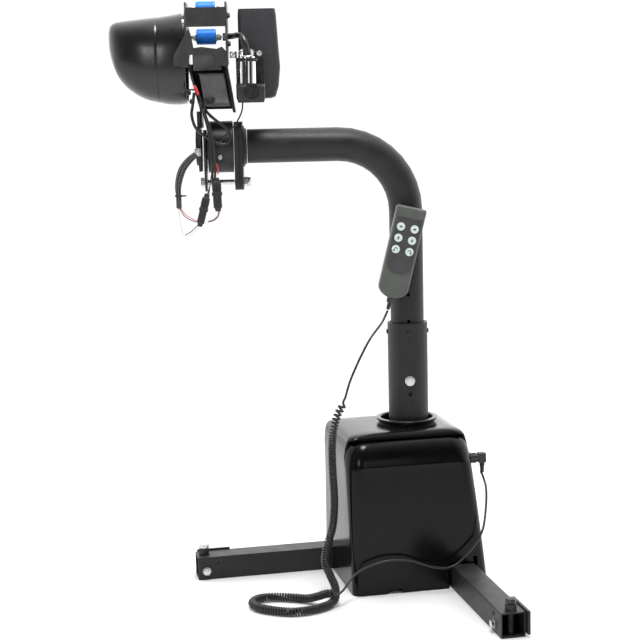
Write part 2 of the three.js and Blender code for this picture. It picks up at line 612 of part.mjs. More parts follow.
// stations along x: x, underside, top, half depth
const COWL = [[-548, 1018, 1038, 10], [-546.5, 1004, 1052, 24], [-542, 985, 1060, 35], [-533, 963, 1064, 45],
  [-518, 944, 1066, 54], [-500, 930, 1068, 60], [-480, 920, 1070, 64], [-456, 914, 1072, 66]];
const COWL_BODY = [[-455.5, 914, 1072, 66], [-440, 911, 1074, 67], [-420, 910, 1077, 67], [-405.2, 912, 1080, 66]];

const cowlDome = () => cut(loft(cowlRings(COWL)), loft(cowlRings(COWL.slice(1), -3)).translate([2, 0, 0]),
  loft(cowlRings([[-470, 917, 1071, 64], [-440, 914, 1072, 65]], -3)));
const cowlBody = () => cut(loft(cowlRings(COWL_BODY)), loft(cowlRings([[-470, 914, 1072, 66], [-440, 911, 1074, 67],
  [-409, 910, 1077, 66]], -3)));

// roller motor inside the cowl
const driveMotor = () => join(rod('x', 42, -505, -425, 24, 990, 24), rod('x', 30, -426, -412.5, 24, 990, 24),
  rod('x', 14, -516, -504, 24, 990, 20));

// ---- assembly -----------------------------------------------------------------------------------
function build() {
  const machine = new THREE.Group();
  machine.name = 'pedestal_machine';
  const base = new THREE.Group();
  base.name = 'base';
  base.rotation.z = (BASE_YAW * Math.PI) / 180;
  base.add(
    piece('leg_left', legLeft(), COAT()),
    piece('leg_front', legFront(), COAT()),
    piece('frame_cross', frameCross(), COAT()),
    piece('tip_strip_left', tipStripLeft(), COAT()),
    piece('tip_strip_front', tipStripFront(), COAT()),
    piece('levelling_bolt_left', jackBolt(-398, LEG_OFFSET + LEG / 2), ZINC()),
    piece('levelling_bolt_front', jackBolt(LEG_OFFSET + LEG / 2, -398), ZINC()),
    piece('base_plate', basePlate(), COAT()),
    piece('slew_housing', slewHousing(), CAST()),
    piece('rotate_motor', rotateMotor(), CAST()),
    piece('control_box', controlBox(), PLASTIC()),
    piece('cover_shell', coverShell(), GLOSS()),
    piece('cover_front', coverFront(), GLOSS()),
    piece('collar_ring', collarRing(), PLASTIC()),
    piece('panel_socket', panelSocket(), PLASTIC()),
    piece('cord_plug', cordPlug(), PLASTIC()),
  );
  const post = new THREE.Group();
  post.name = 'post';
  post.add(
    piece('turntable', turntable(), CAST()),
    piece('sleeve_post', sleevePost(), COAT()),
    piece('height_bolt', heightBolt(), ZINC()),
  );
  const mast = new THREE.Group();
  mast.name = 'mast';
  mast.add(
    piece('mast_tube', mastTube(), COAT()),
    piece('handset_clip', handsetClip(), PLASTIC()),
    piece('handset_back', handsetBack(), SHELL()),
    piece('handset_front', handsetFront(), SHELL()),
    piece('keypad_panel', keypadPanel(), PANEL()),
    piece('strain_relief', strainRelief(), RUBBER()),
  );
  keyPlaces().forEach((p, i) => mast.add(piece(`key_${KEY_NAMES[i]}`, key(p), KEY())));
  const armEnd = new THREE.Group();
  armEnd.name = 'arm_end';
  armEnd.position.z = ARM_Z - TILT_Z;
  armEnd.add(
    piece('arm_flange', armFlange(), COAT()),
    piece('head_mount', headMount(), COAT()),
    piece('tilt_drum', tiltDrum(), CAST()),
    piece('cage_plate', cagePlate(), COAT()),
    piece('cage_bolt', cageBolt(), ZINC()),
  );
  const head = new THREE.Group();
  head.name = 'head';
  head.position.z = ARM_Z - TILT_Z;
  head.add(
    piece('tilt_plate', tiltPlate(), COAT()),
    piece('neck_channel', neckChannel(), COAT()),
    piece('neck_cover', neckCover(), STEEL()),
    piece('bay_side_left', sideLeft(), STEEL()),
    piece('bay_side_right', sideRight(), STEEL()),
    piece('bay_front_plate', frontPlate(), COAT()),
    piece('saddle_bracket', saddle(), STEEL()),
    piece('upper_roller', roller(UPPER_ROLLER_Z, 18), BLUE()),
    piece('lower_roller', roller(ROLLER_Z, 18), BLUE()),
    piece('bent_rod', bentRod(), CAST()),
    piece('chrome_tube', chromeTube(), CHROME()),
    piece('tube_clamp', tubeClamp(), CAST()),
    piece('actuator_block', actuatorBlock(), CAST()),
    piece('slab_cover', slabCover(), PLASTIC()),
    piece('cowl_dome', cowlDome(), PLASTIC()),
    piece('cowl_body', cowlBody(), PLASTIC()),
    piece('drive_motor', driveMotor(), CAST()),
    piece('harness_loop', cordTube(HARNESS_LOOP, 5.5, 12), RUBBER()),
    piece('harness_drop', harnessDrop(), RUBBER()),
    piece('harness_sleeve', sleeveBraid(), RUBBER()),
  );
  const cord = new THREE.Group();
  cord.name = 'cord';
  cord.add(
    piece('cord_lead_top', cordTube(LEAD_TOP, CORD_LEAD_D, 14), RUBBER()),
    piece('cord_coil', cordTube(COIL, CORD_COIL_D, 32), RUBBER()),
    piece('cord_lead_base', cordTube(LEAD_BASE, CORD_LEAD_D, 16), RUBBER()),
  );
  machine.add(base, post, mast, armEnd, head, cord);
  return machine;
}

export default build();
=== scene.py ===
import math
import bmesh
import bpy
from mathutils import Matrix, Vector


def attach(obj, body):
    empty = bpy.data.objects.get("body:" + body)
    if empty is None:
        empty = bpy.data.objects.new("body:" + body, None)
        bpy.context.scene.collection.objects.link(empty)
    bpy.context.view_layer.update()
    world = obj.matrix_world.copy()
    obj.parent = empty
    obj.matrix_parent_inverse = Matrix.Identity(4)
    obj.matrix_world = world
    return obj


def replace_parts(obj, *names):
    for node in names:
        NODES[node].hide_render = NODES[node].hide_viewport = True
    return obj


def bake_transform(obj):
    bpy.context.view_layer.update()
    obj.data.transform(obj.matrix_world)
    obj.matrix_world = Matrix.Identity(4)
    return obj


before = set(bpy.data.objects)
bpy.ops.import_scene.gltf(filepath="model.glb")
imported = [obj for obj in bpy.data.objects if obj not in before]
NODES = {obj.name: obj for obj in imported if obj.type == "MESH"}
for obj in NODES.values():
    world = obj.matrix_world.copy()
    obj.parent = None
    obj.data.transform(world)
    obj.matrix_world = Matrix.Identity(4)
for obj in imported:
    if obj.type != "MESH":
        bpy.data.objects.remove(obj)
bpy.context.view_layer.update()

MM = 0.001

# ---- studio ------------------------------------------------------------------------------------
# A long-lens view from the front at chest height, on a plain pale floor that runs out of sight.
# Bright walls behind and beside the machine edge-light it; the room behind the camera is dimmer.
camera = bpy.data.objects.new("camera", bpy.data.cameras.new("camera"))
camera.data.sensor_width = 36
camera.data.lens = 80.2
camera.data.clip_end = 50
camera.matrix_world = (
    Matrix.Translation((-0.2565, -2.6966, 0.8716))
    @ Matrix.Rotation(math.radians(-1.9), 4, "Z")
    @ Matrix.Rotation(math.radians(90 - 7.9), 4, "X")
    @ Matrix.Rotation(math.radians(-1.3), 4, "Z")
)
bpy.context.collection.objects.link(camera)
bpy.context.scene.camera = camera
bpy.context.scene.view_settings.view_transform = "Standard"


def put(tree, kind, inputs=(), **settings):
    """A new node with its settings and input values."""
    n = tree.nodes.new(kind)
    for key, value in settings.items():
        setattr(n, key, value)
    for key, value in dict(inputs).items():
        n.inputs[key].default_value = value
    return n


def wire(tree, *ends):
    """Links given as source, target, source, target."""
    for a, b in zip(ends[::2], ends[1::2]):
        tree.links.new(a, b)


world = bpy.data.worlds.new("studio")
bpy.context.scene.world = world
world.use_nodes = True
sky = world.node_tree
sky.nodes["Background"].inputs["Color"].default_value = (1, 1, 1, 1)
facing = put(sky, "ShaderNodeTexCoord")
split = put(sky, "ShaderNodeSeparateXYZ")
front_to_back = put(sky, "ShaderNodeMapRange", {"From Min": -0.7, "From Max": 0.35, "To Min": 0.03, "To Max": 1.9},
                    interpolation_type="SMOOTHSTEP")
seen = put(sky, "ShaderNodeLightPath")
level = put(sky, "ShaderNodeMix", {"B": 1.05})
wire(sky, facing.outputs["Generated"], split.inputs[0], split.outputs["Y"], front_to_back.inputs["Value"],
     seen.outputs["Is Camera Ray"], level.inputs["Factor"], front_to_back.outputs["Result"], level.inputs["A"],
     level.outputs["Result"], sky.nodes["Background"].inputs["Strength"])


def softbox(name, place, aim, size, power):
    """A square soft light at a place, turned to face a point."""
    lamp = bpy.data.lights.new(name, "AREA")
    lamp.size = size
    lamp.energy = power
    ob = bpy.data.objects.new(name, lamp)
    ob.location = place
    ob.rotation_euler = (Vector(aim) - Vector(place)).to_track_quat("-Z", "Y").to_euler()
    bpy.context.collection.objects.link(ob)


softbox("overhead", (0, -0.75, 3.0), (0, 0, 0.4), 0.8, 52)
softbox("key_left", (-1.3, -2.9, 1.5), (-0.1, 0, 0.6), 0.6, 9)
softbox("front_fill", (0.9, -3.2, 1.2), (0, 0, 0.6), 1.0, 3)


def shader_group(name, ins, outs):
    """An empty shader node group with named sockets."""
    g = bpy.data.node_groups.new(name, "ShaderNodeTree")
    for label, kind, value in ins:
        g.interface.new_socket(label, in_out="INPUT", socket_type="NodeSocket" + kind).default_value = value
    for label, kind in outs:
        g.interface.new_socket(label, in_out="OUTPUT", socket_type="NodeSocket" + kind)
    return g, put(g, "NodeGroupInput"), put(g, "NodeGroupOutput")


# cloudy variation between two colours of one finish
MOTTLE, g_in, g_out = shader_group(
    "mottle", [("First", "Color", (0, 0, 0, 1)), ("Second", "Color", (1, 1, 1, 1)), ("Scale", "Float", 40.0)],
    [("Colour", "Color"), ("Mask", "Float")])
place = put(MOTTLE, "ShaderNodeTexCoord")
cloud = put(MOTTLE, "ShaderNodeTexNoise", {"Detail": 6.0, "Roughness": 0.62})
spread = put(MOTTLE, "ShaderNodeMapRange", {"From Min": 0.32, "From Max": 0.68})
mixed = put(MOTTLE, "ShaderNodeMix", data_type="RGBA")
wire(MOTTLE, place.outputs["Object"], cloud.inputs["Vector"], g_in.outputs["Scale"], cloud.inputs["Scale"],
     cloud.outputs["Fac"], spread.inputs["Value"], spread.outputs["Result"], mixed.inputs[0],
     g_in.outputs["First"], mixed.inputs[6], g_in.outputs["Second"], mixed.inputs[7],
     mixed.outputs[2], g_out.inputs["Colour"], spread.outputs["Result"], g_out.inputs["Mask"])

# fine pebbled height of a sprayed or moulded surface
PEEL, g_in, g_out = shader_group("peel", [("Scale", "Float", 900.0)], [("Height", "Float")])
place = put(PEEL, "ShaderNodeTexCoord")
pebble = put(PEEL, "ShaderNodeTexVoronoi", feature="SMOOTH_F1")
ripple = put(PEEL, "ShaderNodeTexNoise", {"Scale": 210.0, "Detail": 3.0})
total = put(PEEL, "ShaderNodeMath", operation="ADD")
wire(PEEL, place.outputs["Object"], pebble.inputs["Vector"], g_in.outputs["Scale"], pebble.inputs["Scale"],
     place.outputs["Object"], ripple.inputs["Vector"], pebble.outputs["Distance"], total.inputs[0],
     ripple.outputs["Fac"], total.inputs[1], total.outputs[0], g_out.inputs["Height"])

# corners lightened, partly as rubbed wear and partly as a painted edge highlight, broken up so that the line is never
# even
EDGE_WEAR_AND_HIGHLIGHT, g_in, g_out = shader_group("edge_wear_and_highlight_group", [("Radius", "Float", 0.001), ("Amount", "Float", 1.0)],
                                [("Mask", "Float")])
# the corner mask lightens edges: partly wear, partly a painted edge highlight
rounded = put(EDGE_WEAR_AND_HIGHLIGHT, "ShaderNodeBevel", samples=4)
flat = put(EDGE_WEAR_AND_HIGHLIGHT, "ShaderNodeNewGeometry")
turn = put(EDGE_WEAR_AND_HIGHLIGHT, "ShaderNodeVectorMath", operation="DOT_PRODUCT")
edge = put(EDGE_WEAR_AND_HIGHLIGHT, "ShaderNodeMapRange", {"From Min": 0.99, "From Max": 0.86})
broken = put(EDGE_WEAR_AND_HIGHLIGHT, "ShaderNodeTexNoise", {"Scale": 130.0, "Detail": 5.0})
patch = put(EDGE_WEAR_AND_HIGHLIGHT, "ShaderNodeMapRange", {"From Min": 0.42, "From Max": 0.62})
place = put(EDGE_WEAR_AND_HIGHLIGHT, "ShaderNodeTexCoord")
wear_and_highlight = put(EDGE_WEAR_AND_HIGHLIGHT, "ShaderNodeMath", operation="MULTIPLY")
scaled = put(EDGE_WEAR_AND_HIGHLIGHT, "ShaderNodeMath", operation="MULTIPLY", use_clamp=True)
wire(EDGE_WEAR_AND_HIGHLIGHT, g_in.outputs["Radius"], rounded.inputs["Radius"], rounded.outputs[0], turn.inputs[0],
     flat.outputs["Normal"], turn.inputs[1], turn.outputs["Value"], edge.inputs["Value"],
     place.outputs["Object"], broken.inputs["Vector"], broken.outputs["Fac"], patch.inputs["Value"],
     edge.outputs["Result"], wear_and_highlight.inputs[0], patch.outputs["Result"], wear_and_highlight.inputs[1],
     wear_and_highlight.outputs[0], scaled.inputs[0], g_in.outputs["Amount"], scaled.inputs[1],
     scaled.outputs[0], g_out.inputs["Mask"])

# thin dust on whatever faces up
DUST, g_in, g_out = shader_group("dust", [("Amount", "Float", 0.2)], [("Mask", "Float")])
flat = put(DUST, "ShaderNodeNewGeometry")
up = put(DUST, "ShaderNodeSeparateXYZ")
lies = put(DUST, "ShaderNodeMapRange", {"From Min": 0.35, "From Max": 1.0}, interpolation_type="SMOOTHSTEP")
place = put(DUST, "ShaderNodeTexCoord")
specks = put(DUST, "ShaderNodeTexNoise", {"Scale": 320.0, "Detail": 6.0, "Roughness": 0.7})
film = put(DUST, "ShaderNodeMapRange", {"From Min": 0.45, "From Max": 0.75})
both = put(DUST, "ShaderNodeMath", operation="MULTIPLY")
scaled = put(DUST, "ShaderNodeMath", operation="MULTIPLY", use_clamp=True)
wire(DUST, flat.outputs["Normal"], up.inputs[0], up.outputs["Z"], lies.inputs["Value"],
     place.outputs["Object"], specks.inputs["Vector"], specks.outputs["Fac"], film.inputs["Value"],
     lies.outputs["Result"], both.inputs[0], film.outputs["Result"], both.inputs[1],
     both.outputs[0], scaled.inputs[0], g_in.outputs["Amount"], scaled.inputs[1], scaled.outputs[0],
     g_out.inputs["Mask"])


def grey(v, warm=0.0):
    return (v * (1 + warm), v, v * (1 - warm), 1)


def finish(name, first, second, rough, scale=40.0, peel=0.0, pebble=900.0, wear_and_highlight_amount=0.0, wear_and_highlight_tint=grey(0.16), dust=0.0,
           metal=0.0, shine=0.5, coat=0.0, coat_rough=0.05):
    """A finish of two close colours, with its own grain, dust, and corners lightened both for wear and as a painted
    edge highlight.
    """
    m = bpy.data.materials.new(name)
    m.use_nodes = True
    t = m.node_tree
    p = t.nodes["Principled BSDF"]
    p.inputs["Metallic"].default_value = metal
    p.inputs["Specular IOR Level"].default_value = shine
    p.inputs["Coat Weight"].default_value = coat
    p.inputs["Coat Roughness"].default_value = coat_rough
    base = put(t, "ShaderNodeGroup", node_tree=MOTTLE)
    base.inputs["First"].default_value = first
    base.inputs["Second"].default_value = second
    base.inputs["Scale"].default_value = scale
    colour = base.outputs["Colour"]
    layers = []
    # lighter corners: partly rubbed wear, partly a painted edge highlight
    if wear_and_highlight_amount:
        layers.append((EDGE_WEAR_AND_HIGHLIGHT, {"Radius": 0.0012, "Amount": wear_and_highlight_amount}, wear_and_highlight_tint))
    if dust:
        layers.append((DUST, {"Amount": dust}, grey(0.30, 0.03)))
    for group, values, tint in layers:
        g = put(t, "ShaderNodeGroup", node_tree=group)
        for key, value in values.items():
            g.inputs[key].default_value = value
        mix = put(t, "ShaderNodeMix", data_type="RGBA")
        mix.inputs[7].default_value = tint
        wire(t, g.outputs["Mask"], mix.inputs[0], colour, mix.inputs[6])
        colour = mix.outputs[2]
    r = put(t, "ShaderNodeMapRange", {"To Min": rough[0], "To Max": rough[1]})
    wire(t, colour, p.inputs["Base Color"], base.outputs["Mask"], r.inputs["Value"], r.outputs["Result"],
         p.inputs["Roughness"])
    if peel:
        g = put(t, "ShaderNodeGroup", node_tree=PEEL)
        g.inputs["Scale"].default_value = pebble
        bump = put(t, "ShaderNodeBump", {"Strength": peel, "Distance": 0.0004})
        wire(t, g.outputs["Height"], bump.inputs["Height"], bump.outputs["Normal"], p.inputs["Normal"])
    return m


floor_mesh = bpy.data.meshes.new("floor")
floor_mesh.from_pydata([(-9, -9, 0), (9, -9, 0), (9, 9, 0), (-9, 9, 0)], [], [(0, 1, 2, 3)])
floor = bpy.data.objects.new("floor", floor_mesh)
bpy.context.collection.objects.link(floor)
floor_mesh.materials.append(finish("pale_floor", grey(0.86), grey(0.9), (0.6, 0.7), scale=3.0))


# ---- floor frame -------------------------------------------------------------------------------
# Two legs of square steel tube, an L of the same tube under the cover, and the plate bolted to it.
# Welded, then powder coated satin black; plated bolts level it, and small side bolts hold the tips.
POWDER = finish("powder_coat", grey(0.014), grey(0.022), (0.4, 0.52), peel=0.16, pebble=1500.0, wear_and_highlight_amount=0.35, dust=0.15,
                shine=0.32)
ZINC = finish("zinc_plate", (0.50, 0.52, 0.50, 1), (0.72, 0.73, 0.70, 1), (0.2, 0.42), scale=160.0, peel=0.05,
              metal=1.0, wear_and_highlight_amount=0.5, wear_and_highlight_tint=grey(0.8))
OXIDE = finish("black_oxide", grey(0.012), grey(0.026), (0.32, 0.5), scale=120.0, peel=0.1, wear_and_highlight_amount=0.6, wear_and_highlight_tint=grey(0.2),
               metal=0.35)

smooth_by_angle = bpy.data.node_groups.new("smooth_by_angle", "GeometryNodeTree")
for flow in ("INPUT", "OUTPUT"):
    smooth_by_angle.interface.new_socket("Geometry", in_out=flow, socket_type="NodeSocketGeometry")
g_in, g_out = put(smooth_by_angle, "NodeGroupInput"), put(smooth_by_angle, "NodeGroupOutput")
between = put(smooth_by_angle, "GeometryNodeInputMeshEdgeAngle")
gentle = put(smooth_by_angle, "FunctionNodeCompare", data_type="FLOAT", operation="LESS_EQUAL")
gentle.inputs[1].default_value = math.radians(36)
faces_soft = put(smooth_by_angle, "GeometryNodeSetShadeSmooth", domain="FACE")
edges_soft = put(smooth_by_angle, "GeometryNodeSetShadeSmooth", domain="EDGE")
wire(smooth_by_angle, g_in.outputs[0], faces_soft.inputs["Geometry"], faces_soft.outputs[0],
     edges_soft.inputs["Geometry"],
     between.outputs["Unsigned Angle"], gentle.inputs[0], gentle.outputs[0], edges_soft.inputs["Shade Smooth"],
     edges_soft.outputs[0], g_out.inputs[0])


def soften(ob, edge=0.0):
    """Break the sharp edges by this many millimetres and shade curved faces smooth."""
    ob.modifiers.new("weld", "WELD").merge_threshold = 1e-6
    if edge:
        b = ob.modifiers.new("edges", "BEVEL")
        b.width = edge * MM
        b.segments = 2
        b.limit_method = "ANGLE"
        b.angle_limit = math.radians(36)
    ob.modifiers.new("smooth", "NODES").node_group = smooth_by_angle
    w = ob.modifiers.new("normals", "WEIGHTED_NORMAL")
    w.keep_sharp = True


def dress(material, edge, *names):
    """Give CAD pieces their finish and broken edges."""
    for name in names:
        for s in NODES[name].material_slots:
            s.material = material
        soften(NODES[name], edge)


def spin(profile, axis="z", at=(0, 0, 0), n=40, closed=False):
    """A turned shape from (radius, height) pairs, about an axis through a point, in millimetres."""
    verts, faces, rings = [], [], []
    for r, h in profile:
        count = 1 if r == 0 else n
        rings.append((len(verts), count))
        for k in range(count):
            a = 2 * math.pi * k / n
            u, v = r * math.cos(a), r * math.sin(a)
            verts.append(Vector({"z": (u, v, h), "x": (h, u, v), "y": (u, h, v)}[axis]) + Vector(at))
    pairs = list(zip(rings, rings[1:])) + ([(rings[-1], rings[0])] if closed else [])
    for (a, ca), (b, cb) in pairs:
        for k in range(n):
            j = (k + 1) % n
            f = [a + (k if ca > 1 else 0), a + (j if ca > 1 else 0), b + (j if cb > 1 else 0),
                 b + (k if cb > 1 else 0)]
            faces.append(tuple(dict.fromkeys(f)))
    return verts, faces


def skin(rings):
    """A closed skin through rings of points, capped at both ends."""
    n = len(rings[0])
    verts = [Vector(q) for ring in rings for q in ring]
    faces = [(i * n + k, i * n + (k + 1) % n, (i + 1) * n + (k + 1) % n, (i + 1) * n + k)
             for i in range(len(rings) - 1) for k in range(n)]
    faces += [tuple(range(n))[::-1], tuple((len(rings) - 1) * n + k for k in range(n))]
    return verts, faces


def slab(outline, low, high, axis="z"):
    """A flat outline given a thickness along an axis."""
    def ring(h):
        return [{"z": (a, b, h), "x": (h, a, b), "y": (a, h, b)}[axis] for a, b in outline]
    return skin([ring(low), ring(high)])


def hexagon(flats, at=(0, 0), turn=0.0):
    return [(at[0] + flats / math.sqrt(3) * math.cos(math.radians(60 * k + turn)),
             at[1] + flats / math.sqrt(3) * math.sin(math.radians(60 * k + turn))) for k in range(6)]


def new_piece(name, shapes, material, body, turn=None, edge=0.0):
    """Shapes in millimetres made into one named piece that rides on a body."""
    verts, faces = [], []
    for v, f in shapes:
        faces += [tuple(i + len(verts) for i in face) for face in f]
        verts += [Vector(q) * MM for q in v]
    mesh = bpy.data.meshes.new(name)
    mesh.from_pydata(verts, [], faces)
    if turn:
        mesh.transform(turn)
    bm = bmesh.new()
    bm.from_mesh(mesh)
    bmesh.ops.recalc_face_normals(bm, faces=bm.faces)
    bm.to_mesh(mesh)
    bm.free()
    ob = bpy.data.objects.new(name, mesh)
    bpy.context.collection.objects.link(ob)
    mesh.materials.append(material)
    soften(ob, edge)
    if body:
        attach(ob, body)
    return ob


def bolt_head(axis, at, flats, height, washer=0.0, n=40):
    """A hexagon head with its domed top and washer, standing out from a face along an axis."""
    sign = -1 if height < 0 else 1
    a, b = {"z": (at[0], at[1]), "x": (at[1], at[2]), "y": (at[0], at[2])}[axis]
    h0 = at["xyz".index(axis)]
    shapes = [slab(hexagon(flats, (a, b)), h0 + 1.5 * sign, h0 + height, axis)]
    centre = [0 if c == axis else at[i] for i, c in enumerate("xyz")]
    shapes.append(spin([(0, h0 + 1.3 * sign), (flats * 0.46, h0 + 1.3 * sign), (flats * 0.46, h0 + height),
                        (flats * 0.38, h0 + height + 0.5 * sign), (0, h0 + height + 0.6 * sign)], axis, centre, n))
    r = max(washer, flats * 0.55)
    shapes.append(spin([(0, h0 + 0.05 * sign), (r, h0 + 0.05 * sign), (r, h0 + 1.5 * sign), (0, h0 + 1.5 * sign)],
                       axis, centre, n))
    return shapes


BASE_TURN = Matrix.Rotation(math.radians(10), 4, "Z")
dress(POWDER, 1.6, "leg_left", "leg_front", "frame_cross")
dress(POWDER, 0.5, "tip_strip_left", "tip_strip_front", "base_plate")
dress(OXIDE, 0.6, "slew_housing", "rotate_motor", "turntable", "drive_motor")


def thread(r, z0, z1, at, pitch=1.5):
    """The crests and roots of a screw thread, as close rings."""
    pts, z = [(0, z0), (r - 0.9, z0)], z0 + 0.6
    while z < z1 - pitch:
        pts += [(r, z), (r - 0.7, z + pitch / 2)]
        z += pitch
    return spin(pts + [(r, z1), (0, z1)], "z", at, 24)


for side, (bx, by) in {"left": (-397.7, 64.8), "front": (64.8, -397.7)}.items():
    at = (bx, by, 0)
    metal = ZINC if side == "left" else OXIDE
    bolt = new_piece("levelling_screw_" + side, [
        thread(5.9, 2.5, 58, at), slab(hexagon(17, (bx, by)), 58.6, 65.4),
        spin([(0, 58), (8.2, 58), (8.2, 65), (7, 66), (0, 66)], "z", at, 32),
        spin([(0, 1), (9, 1), (9.8, 2), (9, 3.4), (0, 3.6)], "z", at, 32)], metal, "base", BASE_TURN, 0.4)
    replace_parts(bolt, "levelling_bolt_" + side)
    new_piece("levelling_nut_" + side, [
        slab(hexagon(18.5, (bx, by), 20), 46.4, 56.6),
        spin([(6.1, 44.8), (11, 44.8), (11, 46.3), (6.1, 46.3)], "z", at, 32, closed=True)], OXIDE, "base",
        BASE_TURN, 0.5)
new_piece("tip_bolt_left", bolt_head("y", (-396, 42.5, 17), 13, -6.5, 8), ZINC, "base", BASE_TURN, 0.4)
new_piece("tip_bolt_front", bolt_head("x", (42.5, -376, 15), 13, -6.5, 8), ZINC, "base", BASE_TURN, 0.4)
ring_hole = [(2.4, -0.1), (4.6, -0.1), (4.6, 0.5), (3.6, 0.8), (2.4, 0.4)]
new_piece("tip_insert_left", [spin([(r, 42.5 - h) for r, h in ring_hole], "y", (-372, 0, 34), 28, closed=True)],
          OXIDE, "base", BASE_TURN)
new_piece("tip_insert_front", [spin([(r, 42.5 - h) for r, h in ring_hole], "x", (0, -373, 33), 28, closed=True)],
          OXIDE, "base", BASE_TURN)


# ---- base cover --------------------------------------------------------------------------------
# A hollow moulding of gloss black plastic over the turntable and its drive, in two parts: deck with
# sides and back, and a bulged front panel. It is slotted over the legs and screwed at its sides.
GLOSS = finish("gloss_moulding", grey(0.0028), grey(0.0042), (0.12, 0.20), scale=14.0, peel=0.035, pebble=420.0,
               dust=0.02, shine=0.19)
MATT = finish("matt_moulding", grey(0.016), grey(0.024), (0.42, 0.56), scale=60.0, peel=0.3, pebble=1300.0, wear_and_highlight_amount=0.3,
              wear_and_highlight_tint=grey(0.06), dust=0.12)
# height, left, right, front, back and corner radius of each level
COVER_SIDES = [
    (1, -147, 115, -137, 116, 16), (60, -147, 111, -134, 115, 20), (150, -148, 103, -128, 113, 26),
    (225, -149, 95, -122, 111, 30),
]
PANEL_TOP = [
    (240, -149, 93.5, -121, 110, 33), (254, -148, 91.5, -117, 109, 34), (266, -146, 89, -111, 108, 34),
    (276, -142, 85, -103, 106, 33), (281.5, -137, 80.5, -95, 104, 32), (284.5, -131, 75, -88, 101, 30),
]
DECK_TOP = [
    (250, -149, 92, -114, 110, 26), (262, -148, 90, -110, 108, 24), (270, -147, 88, -106, 106, 20),
    (277, -145, 86, -102, 104, 16), (283, -143, 84, -98, 100, 14), (288, -140, 81, -95, 94, 14),
    (291.5, -134, 76, -92, 86, 16), (294, -122, 69, -89, 78, 20), (295.4, -108, 62, -85, 70, 24),
    (296, -94, 56, -80, 62, 28),
]
WALL = 3.0
SEAM_Y = -86.0


def between_rows(rows, steps):
    """Rows joined by a smooth curve, so that the mouldings have no flats."""
    out = []
    for i in range(len(rows) - 1):
        a, b, c, d = rows[max(i - 1, 0)], rows[i], rows[i + 1], rows[min(i + 2, len(rows) - 1)]
        for k in range(steps):
            t = k / steps
            out.append(tuple(0.5 * (2 * q + (r - p) * t + (2 * p - 5 * q + 4 * r - s) * t * t
                                    + (3 * q - p - 3 * r + s) * t * t * t) for p, q, r, s in zip(a, b, c, d)))
    return out + [rows[-1]]


def round_box(row, inset=0.0, corner=10):
    """One level of a moulding: a rectangle with rounded corners."""
    z, x0, x1, y0, y1, r = row
    x0, x1, y0, y1, r = x0 + inset, x1 - inset, y0 + inset, y1 - inset, max(r - inset, 1.0)
    pts = []
    for cx, cy, start in ((x1 - r, y1 - r, 0), (x0 + r, y1 - r, 90), (x0 + r, y0 + r, 180), (x1 - r, y0 + r, 270)):
        for k in range(corner + 1):
            a = math.radians(start + 90 * k / corner)
            pts.append((cx + r * math.cos(a), cy + r * math.sin(a), z))
    return pts


def box(x0, x1, y0, y1, z0, z1):
    return slab([(x0, y0), (x1, y0), (x1, y1), (x0, y1)], z0, z1)


def carve(ob, tools):
    """Cut (or keep, for a tool named keep) with closed shapes, and apply it to the mesh."""
    ob.modifiers.clear()
    made = []
    for kind, shapes in tools:
        tool = new_piece("tool", shapes, POWDER, None, BASE_TURN)
        tool.modifiers.clear()
        made.append(tool)
        b = ob.modifiers.new("cut", "BOOLEAN")
        b.operation = "INTERSECT" if kind == "keep" else "DIFFERENCE"
        b.solver = "EXACT"
        b.object = tool
    bpy.context.view_layer.update()
    mesh = bpy.data.meshes.new_from_object(ob.evaluated_get(bpy.context.evaluated_depsgraph_get()))
    ob.modifiers.clear()
    ob.data = mesh
    for tool in made:
        bpy.data.objects.remove(tool, do_unlink=True)


def hollow(name, rows):
    ob = new_piece(name, [skin([round_box(r) for r in between_rows(rows, 5)])], GLOSS, "base",
                   BASE_TURN)
    inner = [(rows[0][0] - 3,) + rows[0][1:]] + rows[:4] + [(r[0] - WALL,) + r[1:] for r in rows[4:]]
    return ob, ("cut", [skin([round_box(r, WALL) for r in between_rows(inner, 3)])])


shell, inside = hollow("base_moulding", COVER_SIDES + DECK_TOP)
carve(shell, [
    inside, ("cut", [box(-300, 300, -300, SEAM_Y, -5, 284.8)]), ("cut", [box(-200, -60, 38.6, 95, -5, 58)]),
    ("cut", [box(38.6, 91, -200, -60, -5, 50)]),
    ("cut", [spin([(0, 250), (52, 250), (52, 320), (0, 320)], "z", (-4, 0, 0), 72)]),
    ("cut", [spin([(0, 60), (8.4, 60), (8.4, 130), (0, 130)], "x", (0, -75, 232), 40)]),
])
soften(shell, 0.5)
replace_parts(shell, "cover_shell")
panel, inside = hollow("front_panel", COVER_SIDES + PANEL_TOP)
carve(panel, [
    inside, ("keep", [box(-300, 300, -300, SEAM_Y - 0.3, -5, 284.5)]), ("cut", [box(36.6, 93, -200, -60, -5, 48.5)]),
    ("cut", [box(85, 93, -200, -60, 44, 58.5)]), ("cut", [box(-82, -54, -150, -120, -2, 8.5)]),
])
soften(panel, 0.5)
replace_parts(panel, "cover_front")
new_piece("cover_screw", [spin([(0, 100), (3.6, 100), (4.2, 101.6), (3.4, 103.0), (0, 103.6)], "x", (0, -91, 175),
                               28)],
          ZINC, "base", BASE_TURN)
dress(MATT, 0.6, "control_box", "panel_socket", "cord_plug")
COLLAR = finish("collar_moulding", grey(0.010), grey(0.016), (0.22, 0.32), peel=0.08, dust=0.2, wear_and_highlight_amount=0.3,
                wear_and_highlight_tint=grey(0.05))
dress(COLLAR, 0.7, "collar_ring")


